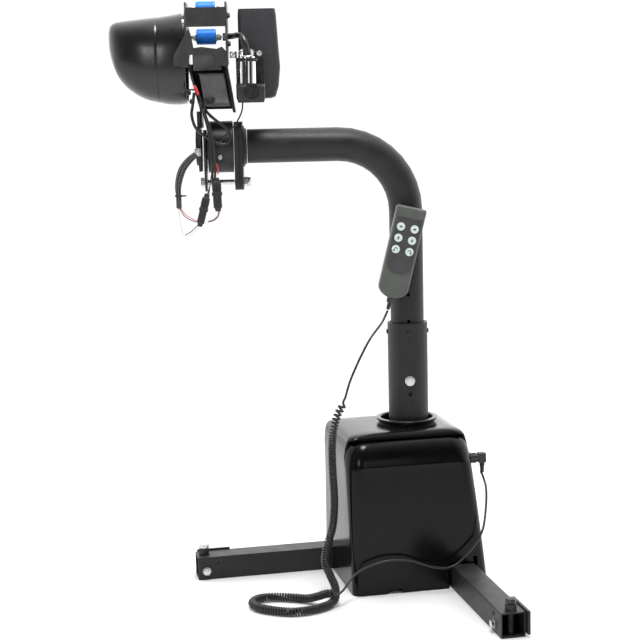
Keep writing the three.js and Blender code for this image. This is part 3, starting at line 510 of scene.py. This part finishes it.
# ---- turning post and bent arm -----------------------------------------------------------------
# A 76 mm sleeve welded to the turntable, with a 64 mm tube sliding in it and bent over to the arm.
# A plated hexagon bolt sets the height through a row of holes; grub screws take up the play.
dress(POWDER, 0.7, "sleeve_post", "mast_tube")
dress(ZINC, 0.4, "height_bolt", "cage_bolt")
grubs = []
for turn_deg in (0, 90, 180, 270):
    turned = Matrix.Rotation(math.radians(turn_deg), 4, "Z")
    v, f = spin([(0, 37.4), (4.4, 37.4), (4.6, 38.6), (4.2, 40.2), (2.2, 40.6), (2.0, 39.0), (0, 38.8)], "x",
                (0, 0, 472), 24)
    grubs.append(([turned @ q for q in v], f))
new_piece("grub_screws", grubs, OXIDE, "post")


# ---- handset -----------------------------------------------------------------------------------
# A two-shell grey plastic handset clipped to the mast, leaned over to the right, with a dark
# overlay let into its face and six pale silicone keys. A ribbed relief takes its cord at the foot.
LEAN = Matrix.Translation(Vector((-14, -49.5, 627)) * MM) @ Matrix.Rotation(math.radians(14), 4, "Y")
SHELL = finish("handset_grey", (0.072, 0.079, 0.070, 1), (0.096, 0.103, 0.092, 1), (0.38, 0.5), scale=70.0, peel=0.2,
               pebble=2200.0, wear_and_highlight_amount=0.5, wear_and_highlight_tint=grey(0.2), dust=0.1)
OVERLAY = finish("keypad_overlay", (0.040, 0.040, 0.046, 1), (0.056, 0.056, 0.063, 1), (0.3, 0.4), scale=90.0,
                 peel=0.12,
                 pebble=2600.0, wear_and_highlight_amount=0.3, wear_and_highlight_tint=grey(0.12))
SILICONE = finish("key_silicone", (0.60, 0.72, 0.64, 1), (0.70, 0.80, 0.73, 1), (0.42, 0.55), scale=240.0, peel=0.1,
                  wear_and_highlight_amount=0.4, wear_and_highlight_tint=grey(0.75), dust=0.1)
PRINT = finish("key_print", grey(0.012), grey(0.03), (0.4, 0.6), scale=500.0, peel=0.05)


def handset_ring(y, inset):
    """The handset's outline seen from its face: round foot, upright sides, softened top corners."""
    w, h, foot = 28.5 - inset, 87 - inset, 22 - inset
    pts = [(-w + w * (1 - math.cos(math.pi * k / 32)), y,
            -h + foot - foot * math.sin(math.pi * k / 32)) for k in range(33)]
    r = 4.5 - inset * 0.3
    for cx, start in ((w - r, 0), (-w + r, 90)):
        pts += [(cx + r * math.cos(math.radians(start + 9 * k)), y, h - r + r * math.sin(math.radians(start + 9 * k)))
                for k in range(11)]
    return pts


front_levels = [(-0.3, 0.5), (-0.8, 0.0), (-5.5, 0.0)] + [
    (-5.5 - 6.0 * math.sin(math.radians(15 * k)), 5.0 * (1 - math.cos(math.radians(15 * k)))) for k in range(1, 7)]
back_levels = [(0.3, 0.5), (0.8, 0.0), (5.0, 0.0)] + [
    (5.0 + 7.5 * math.sin(math.radians(15 * k)), 8.0 * (1 - math.cos(math.radians(15 * k)))) for k in range(1, 7)]
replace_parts(new_piece("handset_face_shell", [skin([handset_ring(y, i) for y, i in front_levels])],
                      SHELL, "mast", LEAN), "handset_front")
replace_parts(new_piece("handset_back_shell", [skin([handset_ring(y, i) for y, i in back_levels])],
                      SHELL, "mast", LEAN), "handset_back")


def overlay_outline(w, foot, top):
    arc = [(-w * math.cos(math.pi * k / 24), foot + 20 - 20 * math.sin(math.pi * k / 24)) for k in range(25)]
    return arc + [(w, top - 2), (w - 2, top), (-w + 2, top), (-w, top - 2)]


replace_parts(new_piece("keypad_face", [slab(overlay_outline(24.6, -40, 66), -12.5, -11.2, "y")],
                      OVERLAY, "mast", LEAN, 0.35), "keypad_panel")
KEYS = {"retract": (-13, 48), "extend": (13, 48), "up": (-13, 26.5), "down": (13, 26.5),
        "rotate_left": (-13, 5), "rotate_right": (13, 5)}


def arrow(cx, cz, angle, size=1.0):
    """A solid arrowhead with a short tail, pointing at an angle."""
    a = math.radians(angle)
    shape = [(3.2, 0), (-0.2, 2.6), (-0.2, 0.9), (-3.0, 0.9), (-3.0, -0.9), (-0.2, -0.9), (-0.2, -2.6)]
    c, s = size * math.cos(a), size * math.sin(a)
    return [(cx + x * c - y * s, cz + x * s + y * c) for x, y in shape]


def curved_arrow(cx, cz, flip):
    """Most of a ring with an arrowhead on its end."""
    ring = [(3.4, a) for a in range(-40, 190, 18)] + [(2.2, a) for a in range(176, -58, -18)]
    body = [(cx + flip * r * math.cos(math.radians(a)), cz + r * math.sin(math.radians(a))) for r, a in ring]
    head = [(cx + flip * x, cz + y) for x, y in ((4.6, -1.6), (0.8, -1.2), (3.4, -5.0))]
    return body, head


for label, (kx, kz) in KEYS.items():
    cap = new_piece("keycap_" + label, [
        spin([(0, -9.2), (6.8, -9.2), (6.8, -12.6), (7.6, -12.9), (7.6, -13.9), (7.1, -14.5), (5.0, -14.75),
              (0, -14.8)],
             "y", (kx, 0, kz), 36)], SILICONE, "key_" + label, LEAN)
    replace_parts(cap, "key_" + label)
    if label.startswith("rotate"):
        marks = [slab(o, -15.0, -14.6, "y") for o in curved_arrow(kx, kz, -1 if label.endswith("left") else 1)]
    else:
        marks = [slab(arrow(kx, kz, {"retract": 180, "extend": 0, "up": 90, "down": 270}[label]), -15.0, -14.6, "y")]
    new_piece("mark_" + label, marks, PRINT, "key_" + label, LEAN)
dress(MATT, 0.6, "handset_clip")


# ---- handset cord ------------------------------------------------------------------------------
# A thin lead from the handset, a long tight curl that hangs beside the cover and lies in a loop on
# the floor, and a thin lead up to the right-angle plug. Black polyurethane over stranded wire.
LEAD_D = 4.4 * MM
CURL_D = 16.0
CURL_SIDES = 14  # points in each turn
LEAD_TOP_ROUTE = [(-41.2, -46.5, 518), (-52, -58, 499), (-80, -88, 468), (-117, -120, 402), (-129, -136, 370)]
CURL_ROUTE = [
    (-131, -138, 362), (-143, -140, 342), (-152, -141, 312), (-155, -141, 283), (-155, -139, 238),
    (-153, -138, 177), (-157, -138, 131), (-166, -141, 100), (-173, -148, 68), (-165, -161, 46),
    (-156, -180, 27), (-157, -197, 14), (-165, -213, 9.2), (-180, -230, 9), (-205, -244, 8.6), (-235, -250, 8.6),
    (-268, -240, 8.6), (-297, -221, 8.6), (-308, -195, 8.6), (-298, -174, 8.6), (-275, -166, 8.6),
    (-237, -172, 8.6), (-208, -184, 9.5), (-188, -196, 17), (-172, -206, 25), (-159, -212, 26),
]
LEAD_BASE_ROUTE = [
    (-151, -216, 24), (-143, -205, 28), (-128, -184, 42), (-105, -173, 57), (-60, -168, 70),
    (-18, -163, 68), (28, -158, 52), (62, -152, 50), (92, -141, 70), (121, -126, 104),
    (134, -97, 141), (139, -69, 178), (136.5, -56, 192), (134.3, -52.5, 199), (131.5, -50, 205),
]


def smooth_route(points, step):
    """Evenly spaced points, in metres, on a smooth curve through given ones in millimetres."""
    p = [Vector(q) * MM for q in points]
    p = [p[0] * 2 - p[1]] + p + [p[-1] * 2 - p[-2]]
    fine = []
    for a, b, c, d in zip(p, p[1:], p[2:], p[3:]):
        t1 = (b - a).length ** 0.5
        t2 = t1 + (c - b).length ** 0.5
        t3 = t2 + (d - c).length ** 0.5
        for k in range(24):
            t = t1 + (t2 - t1) * k / 24
            a1 = a.lerp(b, t / t1)
            a2 = b.lerp(c, (t - t1) / (t2 - t1))
            a3 = c.lerp(d, (t - t2) / (t3 - t2))
            fine.append(a1.lerp(a2, t / t2).lerp(a2.lerp(a3, (t - t1) / (t3 - t1)), (t - t1) / (t2 - t1)))
    fine.append(p[-2])
    out, want, done = [fine[0]], step, 0.0
    for q, r in zip(fine, fine[1:]):
        seg = (r - q).length
        while seg > 1e-9 and done + seg >= want:
            out.append(q.lerp(r, (want - done) / seg))
            want += step
        done += seg
    return out + ([fine[-1]] if (out[-1] - fine[-1]).length > step * 0.3 else [])


def sideways(path):
    """Two directions across the path at each point, turned as little as possible from the last."""
    frames, up = [], None
    for i in range(len(path)):
        along = (path[min(i + 1, len(path) - 1)] - path[max(i - 1, 0)]).normalized()
        up = along.orthogonal().normalized() if up is None else (up - along * up.dot(along)).normalized()
        frames.append((up, along.cross(up)))
    return frames


def cable(name, path, radius, material, sides=10):
    """A round cable along a path, mapped along its length in metres and once around."""
    radii = radius if isinstance(radius, list) else [radius] * len(path)
    verts = [q + (u * math.cos(2 * math.pi * k / sides) + v * math.sin(2 * math.pi * k / sides)) * r
             for q, (u, v), r in zip(path, sideways(path), radii) for k in range(sides)]
    mesh = bpy.data.meshes.new(name)
    mesh.from_pydata(verts, [], skin([[(0, 0, 0)] * sides] * len(path))[1])
    runs = [0.0]
    for q, r in zip(path, path[1:]):
        runs.append(runs[-1] + (r - q).length)
    uv = mesh.uv_layers.new(name="along").data
    for f in mesh.polygons:
        side = len(f.vertices) == 4 and sides != 4
        f.use_smooth = side
        last = side and {v % sides for v in f.vertices} == {0, sides - 1}
        for li in f.loop_indices:
            v = mesh.loops[li].vertex_index
            uv[li].uv = (runs[v // sides], (sides if last and v % sides == 0 else v % sides) / sides)
    ob = bpy.data.objects.new(name, mesh)
    bpy.context.collection.objects.link(ob)
    mesh.materials.append(material)
    return ob


def curl(route):
    """The helix of the curled cord: close turns that open out a little where it hangs."""
    line = smooth_route(route, 1.0 * MM)
    frames = sideways(line)
    radius, out, angle, s, total = (CURL_D * MM - LEAD_D) / 2, [], 0.0, 0.0, len(line) - 1
    while s < total:
        u, v = frames[int(s)]
        ease = 0.6 + 0.4 * max(0.0, min(1.0, s / 8.0, (total - s) / 8.0))
        across = (u * math.cos(angle) + v * math.sin(angle)) * radius * ease
        out.append(line[int(s)].lerp(line[int(s) + 1], s % 1) + across)
        angle += 2 * math.pi / CURL_SIDES
        s += LEAD_D / MM * 1.12 * (1 + 0.9 * max(0.0, 1 - s / 70.0)) / CURL_SIDES
    return out


JACKET = finish("cord_jacket", grey(0.010), grey(0.017), (0.28, 0.42), scale=90.0, peel=0.12, pebble=1800.0,
                dust=0.08)
handset_lead_path = smooth_route(LEAD_TOP_ROUTE, 4 * MM)
handset_lead = cable("handset_lead", handset_lead_path, LEAD_D / 2, JACKET, 14)
helix = curl(CURL_ROUTE)
curled_path = [handset_lead_path[-1].copy()] + helix + smooth_route(LEAD_BASE_ROUTE, 4 * MM)
# the curl eases into the straight lead at both of its ends
EASE_REACH, EASE_PASSES = 7, 12
for joint in (1, 1 + len(helix)):
    for _ in range(EASE_PASSES):
        for i in range(max(1, joint - EASE_REACH), joint + EASE_REACH + 1):
            curled_path[i] = curled_path[i] * 0.5 + (curled_path[i - 1] + curled_path[i + 1]) * 0.25
curled_cord = cable("curled_cord", curled_path, LEAD_D / 2, JACKET, 8)
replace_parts(handset_lead, "cord_lead_top")
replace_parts(curled_cord, "cord_coil", "cord_lead_base")
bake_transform(handset_lead)
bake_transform(curled_cord)
dress(JACKET, 0.4, "strain_relief")


# ---- neck and tilt drive -----------------------------------------------------------------------
# The arm ends in a welded flange. A worm drum between plates tilts the head; a plated through-bolt
# ties the cage together. Laser-cut steel plates, coated black, with a grey folded cover above.
SHEET = finish("grey_sheet", grey(0.09), grey(0.13), (0.26, 0.38), scale=50.0, peel=0.12, pebble=1500.0, metal=0.4,
               wear_and_highlight_amount=0.6,
               wear_and_highlight_tint=grey(0.4))
DARK_SHEET = finish("dark_sheet", grey(0.022), grey(0.034), (0.30, 0.42), scale=50.0, peel=0.14, pebble=1500.0,
                    wear_and_highlight_amount=0.7,
                    wear_and_highlight_tint=grey(0.22), dust=0.1)
dress(POWDER, 0.6, "arm_flange", "head_mount", "cage_plate", "tilt_plate", "neck_channel")
dress(OXIDE, 0.9, "tilt_drum")
weld_ring = [(33.6 + 2.6 * math.cos(math.radians(a)) * (1 if a % 90 else 0.9),
              -303.4 + 2.6 * math.sin(math.radians(a)))
             for a in range(0, 360, 30)]
new_piece("arm_weld", [spin([(r + 2.4, x) for r, x in weld_ring], "x", (0, 0, 830), 96, closed=True)], POWDER, "mast")
new_piece("drum_screw", [
    spin([(0, -44.5), (4.6, -44.5), (4.9, -45.4), (4.3, -46.6), (0, -46.8)], "y", (-346, 0, 812), 28)], ZINC, "mast")
new_piece("cage_nuts", bolt_head("x", (-297, 0, 764), 16.5, 6, 9) , ZINC, "mast", None, 0.4)
# the folded neck cover leans left as it rises, and rolls under at its foot
HOOD_FOOT, HOOD_RISE, HOOD_LEAN = 905, 57, -0.16
neck_rings = []
for k in range(15):
    z = HOOD_FOOT + HOOD_RISE * k / 14
    lean = HOOD_LEAN * (z - 932)
    tuck = 9.0 * max(0.0, 1 - (z - HOOD_FOOT) / 13.0) ** 2
    front = -58 + tuck
    neck_rings.append([(x + lean, y, z) for x, y, _ in round_box((0, -374.4, -329.0, front, -28, 3.0), 0, 5)])
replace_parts(new_piece("neck_hood", [skin(neck_rings),
                                    spin([(0, -58.1), (3.4, -58.1), (3.4, -58.5), (2.2, -58.7), (0, -58.7)],
                                                           "y", (-351, 0, 919), 24)],
                      SHEET, "head", None, 0.8), "neck_cover")
new_piece("hood_lip", [slab([(x + HOOD_LEAN * 31, y) for x, y in ((-376, -59.5), (-328, -59.5), (-328, -56),
                                                                  (-376, -56))], 962.3, 964.0)],
          POWDER, "head", None, 0.4)
new_piece("neck_clips", [
    box(-371, -362, -64, -58.2, 914, 919), box(-360, -352, -63, -58.2, 912, 920),
    box(-366, -357, -62, -58.2, 909, 913),
    spin([(0, -58), (2.4, -58), (2.4, -65.5), (0, -66)], "y", (-368, 0, 911), 20),
    spin([(0, -58), (2.0, -58), (2.0, -64.5), (0, -65)], "y", (-355, 0, 911), 20)], OXIDE, "head", None,
    0.5)


# ---- roller head -------------------------------------------------------------------------------
# Two blue urethane rollers one above the other in a bay of bent plates, the lower one carried by a
# cross rod that turns down into a chromed tube. A motor cowl stands left and a slab cover right.
BLUE = finish("blue_urethane", (0.010, 0.24, 0.95, 1), (0.018, 0.28, 1.0, 1), (0.30, 0.42), scale=240.0, peel=0.35,
              pebble=1100.0, shine=0.5)
CHROME = finish("chrome_plate", grey(0.78), grey(0.86), (0.04, 0.10), scale=90.0, metal=1.0)
BOWL = finish("cowl_moulding", grey(0.010), grey(0.015), (0.20, 0.30), scale=22.0, peel=0.14, pebble=1000.0, wear_and_highlight_amount=0.25,
              wear_and_highlight_tint=grey(0.05), dust=0.08, coat=0.15, coat_rough=0.12)
CHARCOAL = finish("charcoal_moulding", (0.026, 0.025, 0.030, 1), (0.036, 0.035, 0.040, 1), (0.5, 0.62), scale=55.0,
                  peel=0.35, pebble=1300.0, wear_and_highlight_amount=0.3, wear_and_highlight_tint=grey(0.09), dust=0.12)
dress(SHEET, 0.6, "bay_side_left", "bay_side_right")
dress(DARK_SHEET, 0.8, "bay_front_plate")
dress(DARK_SHEET, 2.6, "saddle_bracket")
dress(CHROME, 0.6, "chrome_tube")
dress(CHARCOAL, 2.2, "slab_cover")
dress(OXIDE, 1.0, "actuator_block")

# left to right: station, underside, top, half depth
DOME = [(-548, 1018, 1038, 10), (-546.5, 1004, 1052, 24), (-542, 985, 1060, 35), (-533, 963, 1064, 45),
        (-518, 944, 1066, 54),
        (-500, 930, 1068, 60), (-480, 920, 1070, 64), (-456, 914, 1072, 66)]
BARREL = [(-455.5, 914, 1072, 66), (-440, 911, 1074, 67), (-420, 910, 1077, 67), (-405.2, 912, 1080, 66)]


def cowl_ring(station, inset=0.0, n=80):
    x, z0, z1, half = station
    ring = []
    for k in range(n):
        c, s = math.cos(2 * math.pi * k / n), math.sin(2 * math.pi * k / n)
        q = (abs(c) ** 2.6 + abs(s) ** 2.6) ** (-1 / 2.6)
        ring.append((x, 24 + (half - inset) * q * c, (z0 + z1) / 2 + ((z1 - z0) / 2 - inset) * q * s))
    return ring


def cowl(stations, wall=3.0, lip=0.8):
    """A moulded skin, open at its right-hand end, with a small break at the seam."""
    outer = between_rows(stations, 7)
    rings = [cowl_ring(s) for s in outer[:-1]] + [cowl_ring(outer[-1], lip)]
    inner = [cowl_ring(s, wall) for s in reversed(outer) if s[0] > stations[0][0] + wall * 0.8]
    return skin(rings + inner)


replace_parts(new_piece("motor_cowl_end", [cowl([(-548.3, 1022, 1034, 6)] + DOME)], BOWL, "head"),
            "cowl_dome")
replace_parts(new_piece("motor_cowl_barrel", [cowl(BARREL, 3.0, 0.4)], BOWL, "head"), "cowl_body")


def roller_shapes(z):
    """Urethane sleeve with shallow turned grooves and rounded ends."""
    prof = [(0, -384), (12.6, -384), (14.0, -383.3), (14.5, -382)]
    x = -380.5
    while x < -351:
        prof += [(14.5, x), (14.1, x + 0.35), (14.5, x + 0.7)]
        x += 2.2
    prof += [(14.5, -350), (14.0, -348.7), (12.6, -348), (0, -348)]
    return [spin(prof, "x", (0, 0, z), 48)]


def axle_shapes(z):
    """Axle with a washer and a nut against each end of the sleeve."""
    out = [spin([(0, -395), (3.4, -395), (4, -394.4), (4, -337.6), (3.4, -337), (0, -337)], "x", (0, 0, z), 28)]
    for x0, x1, r in ((-386.2, -384.4, 9.5), (-388.6, -386.6, 7.4), (-347.6, -345.8, 9.5), (-340.0, -338.2, 7.6)):
        out.append(spin([(0, x0), (r, x0), (r, x1), (0, x1)], "x", (0, 0, z), 32))
    return out + [slab(hexagon(13, (0, z), 12), -345.6, -340.2, "x"),
                  slab(hexagon(11, (0, z), 40), -392.6, -388.8, "x")]


for name, z in (("lower_roller", 1033), ("upper_roller", 1083)):
    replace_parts(new_piece(name + "_sleeve", roller_shapes(z), BLUE, name), name)
    new_piece(name + "_axle", axle_shapes(z), ZINC, name, None, 0.3)
new_piece("bay_screws_left", bolt_head("x", (-404.3, -27, 1073), 8.5, -4.5, 5)
          + bolt_head("x", (-404.3, -27, 1059), 8.5, -4.5, 5), ZINC, "head", None, 0.3)
new_piece("bay_screws_right", bolt_head("x", (-325.9, -27, 1069), 9, 5, 6)
          + bolt_head("x", (-325.9, -27, 1018), 9, 5, 6), OXIDE, "head", None, 0.3)
new_piece("inner_box", [skin([round_box((z, -391, -338, -42, 10, 2.5)) for z in (970, 1001)])], SHEET, "head",
          None, 0.8)

ROD_ROUTE = [(-333, 0, 1033), (-322, 0, 1033), (-315, -9, 1033), (-307.5, -28, 1033), (-299, -45, 1029),
             (-292.5, -54, 1012),
             (-291.5, -55, 994), (-291.5, -55, 966)]
STEEL_ROD = finish("blued_rod", grey(0.05), grey(0.085), (0.2, 0.34), scale=120.0, peel=0.06, metal=0.8, wear_and_highlight_amount=0.5,
                   wear_and_highlight_tint=grey(0.4))
rod = cable("cross_rod", smooth_route(ROD_ROUTE, 3 * MM), 5.6 * MM, STEEL_ROD, 24)
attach(rod, "nip")
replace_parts(rod, "bent_rod")
new_piece("cross_rod_nut", [slab(hexagon(15, (0, 1033), 15), -335.8, -329.5, "x"),
                            spin([(0, -329.6), (8.6, -329.6), (8.6, -327.8), (0, -327.8)], "x", (0, 0, 1033), 32)],
          ZINC, "nip", None, 0.4)
tube_at = (-291.5, -55, 0)
cup_verts, cup_faces = spin([(9, 986), (14.6, 986), (15.4, 988), (15.4, 1000), (14.6, 1001), (13.4, 1001),
                             (12.8, 1000), (12.8, 990),
                             (9, 988)], "z", tube_at, 48, closed=True)
cup_verts = [Vector((v.x, v.y, v.z + (0.55 * (v.y + 55) if v.z > 995 else 0))) for v in cup_verts]
cup = new_piece("tube_cup", [(cup_verts, cup_faces)], CHROME, "head", None, 0)
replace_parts(cup, "tube_clamp")
new_piece("clamp_band", [spin([(16.9, 984.3), (19.6, 984.3), (20.2, 985.2), (20.2, 988.6), (19.4, 989.6),
                               (16.9, 989.6)], "z",
                              tube_at, 48, closed=True),
                         box(-322, -309.5, -60, -50, 991, 1002), box(-274, -263.5, -60, -50, 993, 1003)],
          OXIDE, "head", None, 0.8)
new_piece("clamp_nuts", bolt_head("y", (-316, -60.2, 996.5), 8.5, -4.5, 5)
          + bolt_head("y", (-268.5, -60.2, 998), 8.5, -4.5, 5), ZINC, "head", None, 0.3)
new_piece("rating_plate", [slab([(-259, 998), (-240, 998), (-240, 1029), (-259, 1029)], -12.5, -11.9, "y")],
          CHARCOAL, "head", None, 0.2)
new_piece("cowl_catch", [box(-405, -388, -50, -46, 934, 937),
                         spin([(0, -51), (4.4, -51), (4.8, -49), (4.8, -46), (0, -46)], "y",
                                                                  (-400, 0, 930), 28),
                         spin([(0, -49), (4.6, -49), (5.0, -47.6), (5.0, -45), (0, -45)], "y", (-394, 0, 914), 28)],
          OXIDE, "head", None, 0.4)


# ---- head wiring -------------------------------------------------------------------------------
# The motor leads: a thick jacketed loop, a woven sleeve tied at its end, two sealed in-line
# connectors and the thin bare-coloured wires between them. They are held by the head and turn with it.
RED = finish("red_insulation", (0.62, 0.02, 0.03, 1), (0.75, 0.04, 0.05, 1), (0.35, 0.5), scale=300.0, peel=0.05)
WHITE = finish("white_insulation", grey(0.70), grey(0.80), (0.35, 0.5), scale=300.0, peel=0.05)
BLUE_WIRE = finish("blue_insulation", (0.01, 0.06, 0.5, 1), (0.02, 0.09, 0.6, 1), (0.35, 0.5), scale=300.0, peel=0.05)
BRAID = finish("woven_sleeve", grey(0.012), grey(0.020), (0.5, 0.65), scale=200.0)
t = BRAID.node_tree
p = t.nodes["Principled BSDF"]
uv = put(t, "ShaderNodeUVMap", uv_map="along")
part = put(t, "ShaderNodeSeparateXYZ")
wire(t, uv.outputs["UV"], part.inputs[0])
strands = []
for sign in (1.0, -1.0):
    run = put(t, "ShaderNodeMath", operation="MULTIPLY")
    run.inputs[1].default_value = 330.0
    round_ = put(t, "ShaderNodeMath", operation="MULTIPLY")
    round_.inputs[1].default_value = 4.0 * sign
    add = put(t, "ShaderNodeMath", operation="ADD")
    wave = put(t, "ShaderNodeMath", operation="PINGPONG")
    wave.inputs[1].default_value = 0.5
    wire(t, part.outputs["X"], run.inputs[0], part.outputs["Y"], round_.inputs[0], run.outputs[0], add.inputs[0],
         round_.outputs[0], add.inputs[1], add.outputs[0], wave.inputs[0])
    strands.append(wave)
over = put(t, "ShaderNodeMath", operation="MULTIPLY")
wire(t, strands[0].outputs[0], over.inputs[0], strands[1].outputs[0], over.inputs[1])
light_strand = put(t, "ShaderNodeMapRange", {"From Min": 0.13, "From Max": 0.18})
pale = put(t, "ShaderNodeMix", data_type="RGBA")
pale.inputs[6].default_value = grey(0.014)
pale.inputs[7].default_value = grey(0.42)
weave_bump = put(t, "ShaderNodeBump", {"Strength": 0.8, "Distance": 0.0006})
wire(t, over.outputs[0], light_strand.inputs["Value"], light_strand.outputs["Result"], pale.inputs[0],
     pale.outputs[2],
     p.inputs["Base Color"], over.outputs[0], weave_bump.inputs["Height"], weave_bump.outputs["Normal"],
     p.inputs["Normal"])

LOOP_ROUTE = [(-389, -58, 930), (-393, -58, 905), (-395, -60, 890), (-388, -62, 866), (-368, -64, 848),
              (-350, -64, 838),
              (-334, -62, 836), (-326, -60, 846), (-329, -60, 860), (-345, -61, 874), (-361, -62, 888),
              (-375, -60, 904),
              (-382, -58, 914)]
DROP_ROUTE = [(-373, -70, 900), (-363, -72, 868), (-356, -71, 830), (-355, -68, 790), (-357, -66, 760)]
SLEEVE_ROUTE = [(-384, -58, 822), (-402, -60, 808), (-416, -60, 790), (-424, -60, 762), (-424, -58, 738),
                (-424, -58, 720)]


def held_wire(name, route, d, material, sides=12, step=3.0):
    path = smooth_route(route, step * MM)
    ob = cable(name, path, d / 2 * MM, material, sides)
    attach(ob, "head")
    return ob


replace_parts(held_wire("motor_lead_loop", LOOP_ROUTE, 5.5, JACKET, sides=16), "harness_loop")
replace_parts(held_wire("drop_lead", DROP_ROUTE, 4.6, JACKET), "harness_drop")
held_wire("drop_lead_second", [(-379, -66, 912), (-368, -68, 872), (-361, -67, 832), (-360, -64, 792),
                               (-361, -63, 762)], 4.0, JACKET)
held_wire("red_shrink", [(-388, -62, 942), (-385, -64, 936), (-381, -64, 926)], 5.2, RED)
held_wire("red_shrink_lead", [(-394, -56, 958), (-388, -61, 943), (-380, -64.5, 924), (-372, -66, 906),
                              (-360, -66, 884)], 3.6, JACKET)
sleeve_path = smooth_route(SLEEVE_ROUTE, 2.5 * MM)
swollen = len(sleeve_path) * 0.75
swell = [(5.0 + 2.0 * math.sin(math.pi * min(1.0, i / swollen))) * MM for i in range(len(sleeve_path))]
braid = cable("woven_sleeve", sleeve_path, swell, BRAID, 20)
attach(braid, "head")
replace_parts(braid, "harness_sleeve")
new_piece("sleeve_tie", [spin([(5.2, 741), (7.0, 741), (7.0, 744.5), (5.2, 744.5)], "z", (-424, -58, 0), 28,
                              closed=True),
                         box(-418, -410, -60, -56, 741.4, 744)], MATT, "head", None, 0.3)
new_piece("sleeve_clamp", [box(-392, -380.5, -63, -52, 815, 829)] + bolt_head("y", (-386, -63.1, 822), 8, -4, 5),
          ZINC, "head", None, 0.6)


def connector(name, centre, lean_deg, length, width):
    """A sealed in-line connector: two ribbed halves, a latch and a rear boot."""
    turn = Matrix.Translation(Vector(centre) * MM) @ Matrix.Rotation(math.radians(lean_deg), 4, "Y")
    h, w = length / 2, width / 2
    shapes = [skin([round_box((z, -w * s, w * s, -w * 0.75 * s, w * 0.75 * s, 2.0)) for z, s in
                    ((-h, 0.55), (-h + 6, 0.72), (-h + 7, 0.92), (-2, 0.92), (-1.6, 1.12), (4, 1.12), (4.6, 0.95),
                     (h - 8, 0.95),
                     (h - 7, 0.7), (h, 0.6))])]
    for k in range(4):
        z = h - 16 + 2.6 * k - 6
        shapes.append(skin([round_box((q, -w * 1.04, w * 1.04, -w * 0.84, w * 0.84, 2.0)) for q in (z, z + 1.2)]))
    shapes.append(box(-w * 0.35, w * 0.35, -w * 1.15, -w * 0.7, -8, 6))
    return new_piece(name, shapes, MATT, "head", turn, 0.4)


connector("plug_connector", (-353, -65, 744), -2, 62, 17)
connector("lamp_connector", (-379, -65, 716), 15, 62, 15)
for name, route, d, tint in (
    ("red_wire_left", [(-421, -58, 720), (-412, -60, 708), (-398, -62, 699), (-388, -63, 695)], 1.6, RED),
    ("black_wire_left", [(-423, -58, 720), (-414, -58, 705), (-399, -60, 696), (-386, -62, 693)], 1.6, JACKET),
    ("black_wire_right", [(-372, -63, 694), (-362, -64, 696), (-352, -64, 704), (-350, -65, 713)], 1.8, JACKET),
    ("red_wire_right", [(-370, -61, 695), (-360, -62, 699), (-354, -63, 705), (-351, -64, 713)], 1.4, RED),
    ("white_wire", [(-425, -58, 720), (-423, -59, 700), (-421, -60, 684), (-418, -61, 672), (-408, -62, 669),
                    (-396, -63, 677),
                    (-388, -64, 687)], 1.6, WHITE),
    ("black_wire_low", [(-414, -60, 671), (-404, -61, 676), (-395, -62, 684), (-389, -63, 690)], 1.6, JACKET),
    ("blue_wire", [(-372, -64, 742), (-370, -64, 748), (-368, -63, 754)], 2.0, BLUE_WIRE),
    ("white_wire_top", [(-371, -63, 744), (-367, -63, 756), (-365, -63, 768)], 1.6, WHITE),
    ("signal_lead", [(-356, -70, 818), (-360, -70, 792), (-364, -68, 770), (-368, -66, 746)], 2.2, JACKET),
    ("actuator_lead", [(-301, -50, 914), (-303, -56, 896), (-310, -60, 880), (-320, -62, 866), (-332, -62, 854),
                       (-345, -62, 838)], 2.8, JACKET),
    ("red_shrink_drop", [(-352, -69, 800), (-350, -69, 790), (-350, -68, 781)], 2.6, RED),
):
    held_wire(name, route, d, tint)
